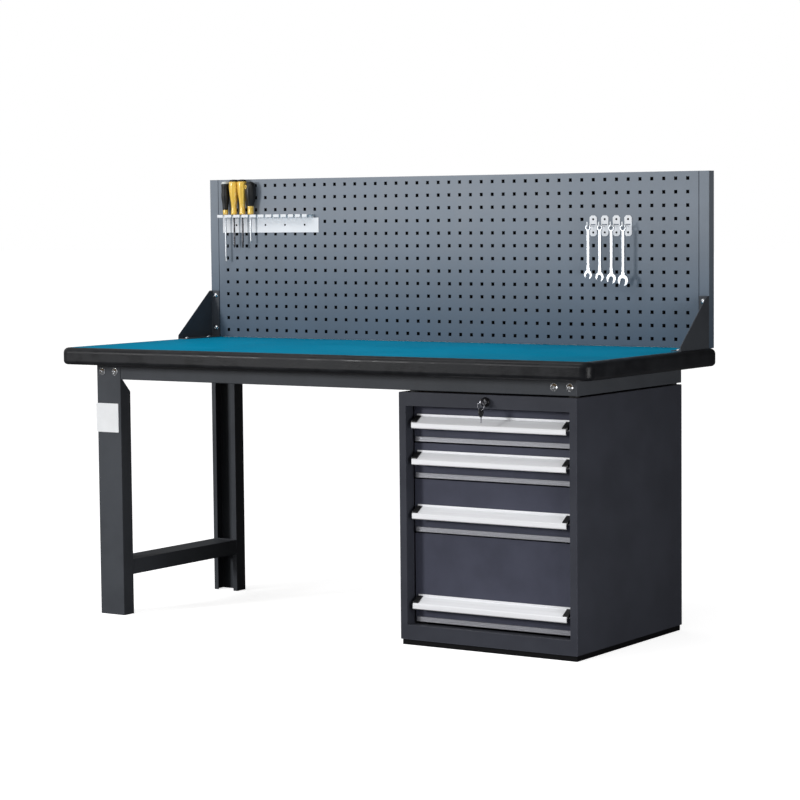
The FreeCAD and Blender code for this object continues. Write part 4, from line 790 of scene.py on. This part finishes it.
YELLOW_BODY = ((0.0, 0.50), (0.005, 0.60), (0.05, 0.62), (0.09, 0.60), (0.16, 0.54), (0.26, 0.56),
               (0.38, 0.66), (0.50, 0.78), (0.62, 0.89), (0.74, 0.97), (0.85, 1.0), (0.925, 0.98),
               (0.945, 0.90), (0.946, 0.5))
BLACK_CAP = ((0.935, 0.50), (0.936, 0.88), (0.945, 0.93), (0.965, 0.90), (0.985, 0.74), (0.998, 0.46),
             (1.0, 0.2))
SLEEVE = ((0.14, 0.40), (0.145, 0.66), (0.18, 0.70), (0.28, 0.72), (0.38, 0.80), (0.48, 0.95),
          (0.56, 1.0), (0.64, 0.96), (0.72, 0.88), (0.80, 0.90), (0.88, 0.98), (0.915, 0.94), (0.92, 0.5))
NECK = ((0.0, 0.45), (0.005, 0.58), (0.06, 0.62), (0.12, 0.60), (0.17, 0.60), (0.18, 0.40))
PALE_CAP = ((0.91, 0.50), (0.915, 0.88), (0.94, 0.92), (0.97, 0.84), (0.99, 0.60), (1.0, 0.25))
BULB = ((0.24, 0.30), (0.245, 0.56), (0.28, 0.60), (0.34, 0.66), (0.44, 0.82), (0.56, 0.95),
        (0.68, 1.0), (0.80, 0.99), (0.89, 0.92), (0.95, 0.78), (0.985, 0.56), (1.0, 0.25))
WIDE_NECK = ((0.0, 0.42), (0.005, 0.52), (0.06, 0.56), (0.14, 0.53), (0.22, 0.52), (0.29, 0.60),
             (0.30, 0.3))

handle_part("driver_1_neck", driver_places[0], NECK, "grip", 0.0)
handle_part("driver_1_sleeve", driver_places[0], SLEEVE, "grip_black", 0.10)
handle_part("driver_1_cap", driver_places[0], PALE_CAP, "grip_silver", 0.0)
for number in (2, 3):
    handle_part("driver_%d_body" % number, driver_places[number - 1], YELLOW_BODY, "grip", 0.12)
    handle_part("driver_%d_cap" % number, driver_places[number - 1], BLACK_CAP, "grip_black", 0.0)
handle_part("driver_4_neck", driver_places[3], WIDE_NECK, "grip", 0.0)
handle_part("driver_4_bulb", driver_places[3], BULB, "grip_black", 0.08)
print("handle parts made")

# %% [markdown]
# The largest handle has a plain yellow ring near its end, as a bush round a hole to hang
# it by. It stands a little proud of the rubber, and the black inside it reads as the hole.

# %% Hang-hole bush
BUSH_RADIUS = 4.6
BUSH_WIRE = 1.5
BUSH_POINTS = 8
BUSH_STRETCH = 1.25
BUSH_TURN = -26
BUSH_SIDE = Vector((-0.42, -0.84, 0.0))
BUSH_SHARE = 0.84
big = driver_places[3]
loop = []
for index in range(BUSH_POINTS):
    angle = 2 * math.pi * index / BUSH_POINTS
    across = BUSH_RADIUS * MM * math.cos(angle)
    loop.append((across, 0.0, BUSH_STRETCH * BUSH_RADIUS * MM * math.sin(angle)))
bush_piece = wire("driver_4_bush", "NURBS", BUSH_WIRE, loop, True, "grip")
bush_up = Vector((0.0, 0.0, BUSH_SHARE * big["length"] * MM))
bush_piece.location = Vector(big["place"]) + BUSH_SIDE * big["radius"] * MM + bush_up
bush_piece.rotation_euler = (0.0, 0.0, math.radians(BUSH_TURN))
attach(bush_piece, "bench")
print("bush fitted")

# %% [markdown]
# Shafts are round bar with a short collar under the handle. Two end in a flat blade,
# which is hammered out of the round, so those points are squashed one way and spread the
# other. Two end in a cross point, which is a cone with four cut flutes.

# %% Screwdriver shafts
SHAFT_SIDES = 24
BLADE_LENGTH, BLADE_FADE = 16, 14
POINT_LENGTH, POINT_FADE = 9, 7


def flat_blade(tip):
    """Squashes the last part of the shaft into a blade."""
    def shape(x, y, height):
        share = max(0.0, min(1.0, (tip + BLADE_LENGTH - height) / BLADE_FADE))
        return x * (1 + 0.25 * share), y * (1 - 0.78 * share), height
    return shape


def cross_point(tip):
    """Cuts four flutes into the last part of the shaft."""
    def shape(x, y, height):
        share = max(0.0, min(1.0, (tip + POINT_LENGTH - height) / POINT_FADE))
        pull = 1 - 0.45 * share * (0.5 + 0.5 * math.cos(4 * math.atan2(y, x)))
        return x * pull, y * pull, height
    return shape


SHAFT_RADII = (2.9, 3.0, 3.1, 3.1)
# Two shafts take the dark steel, a painted reflection of dark surroundings in their chrome.
SHAFT_FINISHES = ("tool_steel", "driver_steel", "driver_steel", "tool_steel")
FLAT_ONES = (0, 2)
for index, driver in enumerate(driver_places):
    radius = SHAFT_RADII[index]
    tip = -driver["shaft"]
    flat = index in FLAT_ONES
    end = 0.85 if flat else 0.28
    stations = [(tip, radius * end), (tip + 2, radius * (0.95 if flat else 0.5))]
    stations += [(tip + step, radius) for step in (5, 7, 9, 12, 15, 18)]
    stations += [(tip * share, radius) for share in (0.75, 0.5, 0.25)]
    stations += [(-7, radius), (-6.5, radius * 1.05), (-0.2, radius * 1.05)]
    name = "driver_%d_shaft" % (index + 1)
    shape = flat_blade(tip) if flat else cross_point(tip)
    mesh = turned(name, stations, SHAFT_SIDES, driver["place"], shape)
    add_piece(name, mesh, SHAFT_FINISHES[index], "bench")
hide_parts("screwdriver_handles")
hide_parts("screwdriver_shafts")
print("shafts reach", [round(driver["shaft"]) for driver in driver_places], "mm below the shelf")

# %% [markdown]
# A combination wrench is forged flat: a ring at one end, an open jaw turned 15 degrees at
# the other, and a thinner shank between. A filled 2D curve is the quickest way to an
# outline with a hole and a small round on every edge. It is turned into a mesh, and then
# the shank is thinned by moving its points towards the middle plane.

# %% Flat plates from outlines


def flat_plate(name, outer, holes, thick, edge, basis, place):
    """A plate from a closed outline and holes in millimetres, with rounded edges.

    The basis gives the world directions of the outline's across, up and thickness.
    """
    curve = bpy.data.curves.new(name, "CURVE")
    curve.dimensions = "2D"
    curve.fill_mode = "BOTH"
    curve.extrude = (thick / 2 - edge) * MM
    curve.bevel_depth = edge * MM
    curve.bevel_resolution = 2
    curve.offset = -edge * MM
    for outline in (outer, *holes):
        spline = curve.splines.new("POLY")
        spline.points.add(len(outline) - 1)
        for point, (across, up) in zip(spline.points, outline):
            point.co = (across * MM, up * MM, 0.0, 1.0)
        spline.use_cyclic_u = True
    holder = bpy.data.objects.new(name, curve)
    show(holder)
    bpy.context.view_layer.update()
    solid = holder.evaluated_get(bpy.context.evaluated_depsgraph_get())
    mesh = bpy.data.meshes.new_from_object(solid)
    bpy.data.objects.remove(holder)
    bpy.data.curves.remove(curve)
    across_axis, up_axis, thick_axis = basis
    for vertex in mesh.vertices:
        flat = Vector(place) + across_axis * vertex.co.x + up_axis * vertex.co.y
        vertex.co = flat + thick_axis * vertex.co.z
    built = bmesh.new()
    built.from_mesh(mesh)
    bmesh.ops.remove_doubles(built, verts=built.verts, dist=0.01 * MM)
    bmesh.ops.recalc_face_normals(built, faces=built.faces)
    built.to_mesh(mesh)
    built.free()
    return mesh


def arc(middle_x, middle_y, radius, start, stop, count):
    """Points round an arc, angles in degrees."""
    steps = [math.radians(start + (stop - start) * index / (count - 1)) for index in range(count)]
    return [(middle_x + radius * math.cos(a), middle_y + radius * math.sin(a)) for a in steps]


X_AXIS, Y_AXIS, Z_AXIS = Vector((1, 0, 0)), Vector((0, 1, 0)), Vector((0, 0, 1))
print("plates can be made")

# %% Wrenches
WRENCH_SIZES = ((146, 8.5), (152, 8.5), (157, 9.5), (163, 9.5))    # ring to jaw tips, ring radius
JAW_TURN = 15
MOUTH_HALF = 0.46
SHANK_HALF = 4.3
RING_WALL = 2.9
RING_STEPS_ROUND = 24
RING_NOTCH = 0.9
SHANK_SHARES = (0.12, 0.3, 0.5, 0.7, 0.85)
SHANK_TAPER = 0.5
MOUTH_SHAPE = ((0.30, 1.0), (-0.05, 1.0), (-0.25, 0.72), (-0.36, 0.25), (-0.36, -0.25),
               (-0.25, -0.72), (-0.05, -1.0), (0.30, -1.0))
PLATE_EDGE = 0.8
THINNING, THINNING_FADE = 0.25, 8


def wrench_outline(length, ring_radius, jaw_radius):
    """The forging's outline about the ring's centre, with the jaw hanging below."""
    jaw_up = -length + jaw_radius * 0.8
    neck_ring = math.degrees(math.asin(SHANK_HALF / ring_radius))
    points = arc(0, 0, ring_radius, -90 + neck_ring, 270 - neck_ring, 40)
    drop = jaw_up + jaw_radius + ring_radius
    for share in SHANK_SHARES:
        points.append((-SHANK_HALF + SHANK_TAPER * share, -ring_radius + drop * share))
    mouth = -90 - JAW_TURN
    half_angle = math.degrees(math.asin(MOUTH_HALF))
    shoulder = math.degrees(math.asin(min(0.9, SHANK_HALF * 1.25 / jaw_radius)))
    points += arc(0, jaw_up, jaw_radius, 90 + shoulder, 360 + mouth - half_angle, 22)
    inward = Vector((-math.cos(math.radians(mouth)), -math.sin(math.radians(mouth))))
    side = Vector((-inward.y, inward.x))
    middle = Vector((0.0, jaw_up))
    half = jaw_radius * MOUTH_HALF
    for along_axis, across in MOUTH_SHAPE:
        spot = middle - inward * jaw_radius * along_axis + side * half * across
        points.append((spot.x, spot.y))
    points += arc(0, jaw_up, jaw_radius, mouth + half_angle, 90 - shoulder, 22)
    for share in reversed(SHANK_SHARES):
        points.append((SHANK_HALF - SHANK_TAPER * share, -ring_radius + drop * share))
    return points


def ring_teeth(radius):
    """The twelve-point hole of the ring."""
    points = []
    for step in range(RING_STEPS_ROUND):
        reach = radius if step % 2 else radius * RING_NOTCH
        angle = math.radians(360 / RING_STEPS_ROUND * step)
        points.append((reach * math.cos(angle), reach * math.sin(angle)))
    return points


for index, (low, high) in enumerate(boxes_along_x("wrenches", WRENCH_GAP)):
    length, ring_radius = WRENCH_SIZES[index]
    jaw_radius = (high.x - low.x) / MM / 2
    centre = Vector(((low.x + high.x) / 2, (low.y + high.y) / 2, high.z - ring_radius * MM))
    name = "wrench_%d" % (index + 1)
    outline = wrench_outline(length, ring_radius, jaw_radius)
    mesh = flat_plate(name, outline, [ring_teeth(ring_radius - RING_WALL)], (high.y - low.y) / MM,
                      PLATE_EDGE, (X_AXIS, Z_AXIS, Y_AXIS), centre)
    shank_top = centre.z - (ring_radius + 4) * MM
    shank_low = centre.z - (length - jaw_radius * 2.2) * MM
    for vertex in mesh.vertices:
        fade = min(max((shank_top - vertex.co.z) / (THINNING_FADE * MM), 0.0), 1.0)
        fade *= min(max((vertex.co.z - shank_low) / (THINNING_FADE * MM), 0.0), 1.0)
        vertex.co.y = centre.y + (vertex.co.y - centre.y) * (1 - THINNING * fade)
    piece = add_piece(name, mesh, "tool_steel", "bench", smooth=False)
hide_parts("wrenches")

# %% [markdown]
# The hooks and the rack are fixed to the panel with small black screws through its
# holes. A head is a low dome with a cross cut into it, and one mesh holds all of them.

# %% Fixing screw places
GRID = 38 * MM
HOOK_HALF = 12 * MM
SCREW_OUT = 1.5 * MM
FIRST_COLUMN = -21.5
RACK_COLUMNS = (1, 4, 6, 8)
RACK_SCREW_UP = 24 * MM
hooks_low, hooks_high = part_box("wrench_hooks")
hooks_middle = (hooks_low.z + hooks_high.z) / 2
screw_y = panel_low.y - SCREW_OUT
spots = []
for index in range(4):
    for row in (-0.5, 0.5):
        hook_x = hooks_low.x + HOOK_HALF + index * GRID
        spots.append(Vector((hook_x, screw_y, hooks_middle + row * GRID)))
rack_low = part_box("screwdriver_rack")[0]
for column in RACK_COLUMNS:
    rack_x = FIRST_COLUMN * GRID + column * GRID
    spots.append(Vector((rack_x, screw_y, rack_low.z + RACK_SCREW_UP)))
print("fixing screws:", len(spots))

# %% Fixing screw heads
HEAD_RADIUS, HEAD_HEIGHT = 3.1, 1.3
HEAD_SIDES = 20
CROSS_EVERY, CROSS_DEPTH = 5, 0.55
CROSS_WITHIN = 0.6
DOME = ((0.0, 1.0), (0.35, 0.97), (0.7, 0.82), (0.92, 0.5), (1.0, 0.0))
built = bmesh.new()
for spot in spots:
    rings = []
    for rise, across_share in DOME:
        ring = []
        for step in range(HEAD_SIDES):
            angle = 2 * math.pi * step / HEAD_SIDES
            in_cross = across_share < CROSS_WITHIN and step % CROSS_EVERY == 0
            out = rise * (CROSS_DEPTH if in_cross else 1.0) * HEAD_HEIGHT * MM
            reach = across_share * HEAD_RADIUS * MM
            corner = Vector((reach * math.cos(angle), -out, reach * math.sin(angle)))
            ring.append(built.verts.new(spot + corner))
        rings.append(ring)
    for lower, upper in zip(rings, rings[1:]):
        for step in range(HEAD_SIDES):
            beside = (step + 1) % HEAD_SIDES
            built.faces.new((lower[step], lower[beside], upper[beside], upper[step]))
    built.faces.new(rings[0])
bmesh.ops.remove_doubles(built, verts=built.verts, dist=0.005 * MM)
bmesh.ops.recalc_face_normals(built, faces=built.faces)
mesh = bpy.data.meshes.new("fixing_screws")
built.to_mesh(mesh)
built.free()
add_piece("fixing_screws", mesh, "lock_black", "bench")
print("heads stand", HEAD_HEIGHT, "mm proud")

# %% [markdown]
# Keys are stamped from flat nickel-plated brass. The one in the lock shows its bow edge
# on, and a split ring through the bow carries the spare, which has a black moulded head.
# The spare rides on its own body, because it swings on the ring. Its teeth are cut along
# one edge only.

# %% Key outline


def key_outline(bow_radius, blade_half, blade_length, teeth):
    """A key with its bow's middle at the origin and its blade pointing down."""
    neck = math.degrees(math.asin(blade_half / bow_radius))
    points = arc(0, 0, bow_radius, -90 + neck, 270 - neck, 36)
    bottom = -bow_radius - blade_length
    points += [(-blade_half, bottom + 2), (-blade_half + 2, bottom), (blade_half - 3, bottom)]
    height = bottom + 2
    for depth in teeth:
        points += [(blade_half - depth, height), (blade_half - depth, height + 1.2)]
        height += 2.4
    points.append((blade_half, height))
    return points


def bow_hole(radius):
    """The hole that the ring passes through, near the bow's far end."""
    return arc(0, hole_up, radius, 360, 15, 24)


print("key outlines can be made")

# %% Key in the lock
key_low, key_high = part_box("lock_key")
KEY_BOW = (key_high.z - key_low.z) / MM / 2
KEY_HOLE = 2.6
KEY_EDGE = 0.3
key_middle = (key_low + key_high) / 2
bow_centre = Vector((key_middle.x, key_low.y + KEY_BOW * MM, key_middle.z))
key_blade = (key_high.y - key_low.y) / MM - 2 * KEY_BOW
outline = key_outline(KEY_BOW, 4, key_blade, (0.6, 1.6, 0.8, 2.0, 1.2, 0.4))
hole_up = KEY_BOW - 5
mesh = flat_plate("key_in_lock", outline, [bow_hole(KEY_HOLE)], 2.0, KEY_EDGE,
                  (Z_AXIS, -Y_AXIS, X_AXIS), bow_centre)
key_piece = add_piece("key_in_lock", mesh, "key_steel", "lock_plug", smooth=False)
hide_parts("lock_key")
print("the key's bow is", round(2 * KEY_BOW), "mm across")

# %% Spare key
RING_RADIUS, RING_WIRE = 10.0, 0.7
SPARE_BOW = 0.95
SPARE_AXES = (Y_AXIS, Z_AXIS, X_AXIS)
spare_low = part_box("spare_key_on_ring")[0]
ring_centre = Vector((bow_centre.x, bow_centre.y - hole_up * MM, bow_centre.z - RING_RADIUS * MM))
spare_up = ring_centre.z - (RING_RADIUS + hole_up) * MM
spare_middle = Vector((ring_centre.x, ring_centre.y, spare_up))
spare_blade = (spare_middle.z - spare_low.z) / MM - KEY_BOW
outline = key_outline(KEY_BOW * SPARE_BOW, 3.6, spare_blade + KEY_BOW * 0.05, (0.8, 1.8, 1.0, 0.5, 1.6))
mesh = flat_plate("spare_key", outline, [bow_hole(KEY_HOLE)], 1.8, KEY_EDGE, SPARE_AXES, spare_middle)
spare_piece = add_piece("spare_key", mesh, "key_steel", "spare_key", smooth=False)
head = [(x, y * 1.02) for x, y in arc(0, 0, KEY_BOW, -62, 242, 36)]
head += [(-4.6, -KEY_BOW - 1.5), (4.6, -KEY_BOW - 1.5)]
mesh = flat_plate("spare_key_head", head, [bow_hole(KEY_HOLE + 0.3)], 3.4, 0.8, SPARE_AXES, spare_middle)
add_piece("spare_key_head", mesh, "cap_plastic", "spare_key", smooth=False)
print("the spare key hangs to", round(spare_low.z / MM), "mm above the floor")

# %% Split ring
TURNS = 2
RING_STEPS = 96
COIL_SHIFT = 1.2
coil = []
for index in range(RING_STEPS + 1):
    angle = 2 * math.pi * TURNS * index / RING_STEPS
    shift = (index / RING_STEPS - 0.5) * COIL_SHIFT * RING_WIRE * MM
    coil.append((RING_RADIUS * MM * math.cos(angle), shift, RING_RADIUS * MM * math.sin(angle)))
ring_piece = wire("split_ring", "POLY", RING_WIRE, coil, False, "key_steel")
ring_piece.location = ring_centre
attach(ring_piece, "spare_key")
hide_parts("spare_key_on_ring")
print("the ring has", TURNS, "turns of wire")

# %% [markdown]
# The cross rail of the leg frame is welded to the lips of both legs. A weld bead is a row
# of small overlapping ripples, painted over with the frame. Each bead is a thin tube half
# sunk in the corner whose radius rises and falls along it, with a little seeded
# randomness so that no two ripples are alike.

# %% Weld beads
random.seed(11)
RIPPLE = 2.6
RIPPLE_STEPS = 4
BEAD_RADIUS = 2.0
BEAD_SIDES = 10
BEAD_INSET = 0.004
VALLEY, SWELL = 0.72, 0.28
UNEVEN = (0.94, 1.06)
END_SHARE = 0.4


def weld_bead(name, start, stop):
    """A rippled bead from one point to another, in metres."""
    line = stop - start
    across = line.normalized().orthogonal().normalized()
    other = line.normalized().cross(across)
    count = int(line.length / MM / RIPPLE) * RIPPLE_STEPS
    vertices = []
    for step in range(count + 1):
        wave = abs(math.sin(math.pi * step / RIPPLE_STEPS))
        radius = BEAD_RADIUS * (VALLEY + SWELL * wave) * random.uniform(*UNEVEN) * MM
        if step in (0, count):
            radius *= END_SHARE
        middle = start + line * (step / count)
        for side in range(BEAD_SIDES):
            angle = 2 * math.pi * side / BEAD_SIDES
            vertices.append(middle + (across * math.cos(angle) + other * math.sin(angle)) * radius)
    mesh = bpy.data.meshes.new(name)
    mesh.from_pydata(vertices, [], tube_faces(count + 1, BEAD_SIDES))
    return add_piece(name, mesh, "frame_paint", "bench")


rail_low, rail_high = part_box("leg_cross_rail")
left, right_side = rail_low.x, rail_high.x
under, over = rail_low.z, rail_high.z
BEAD_RUNS = (("top", (left + BEAD_INSET, over), (right_side - BEAD_INSET, over)),
             ("right", (right_side, under + BEAD_INSET), (right_side, over - BEAD_INSET)),
             ("left", (left, under + BEAD_INSET), (left, over - BEAD_INSET)))
beads = []
for end, y in (("front", rail_low.y), ("rear", rail_high.y)):
    for edge_name, (x1, z1), (x2, z2) in BEAD_RUNS:
        beads.append(weld_bead("weld_%s_%s" % (edge_name, end), Vector((x1, y, z1)), Vector((x2, y, z2))))
print("weld beads:", len(beads))
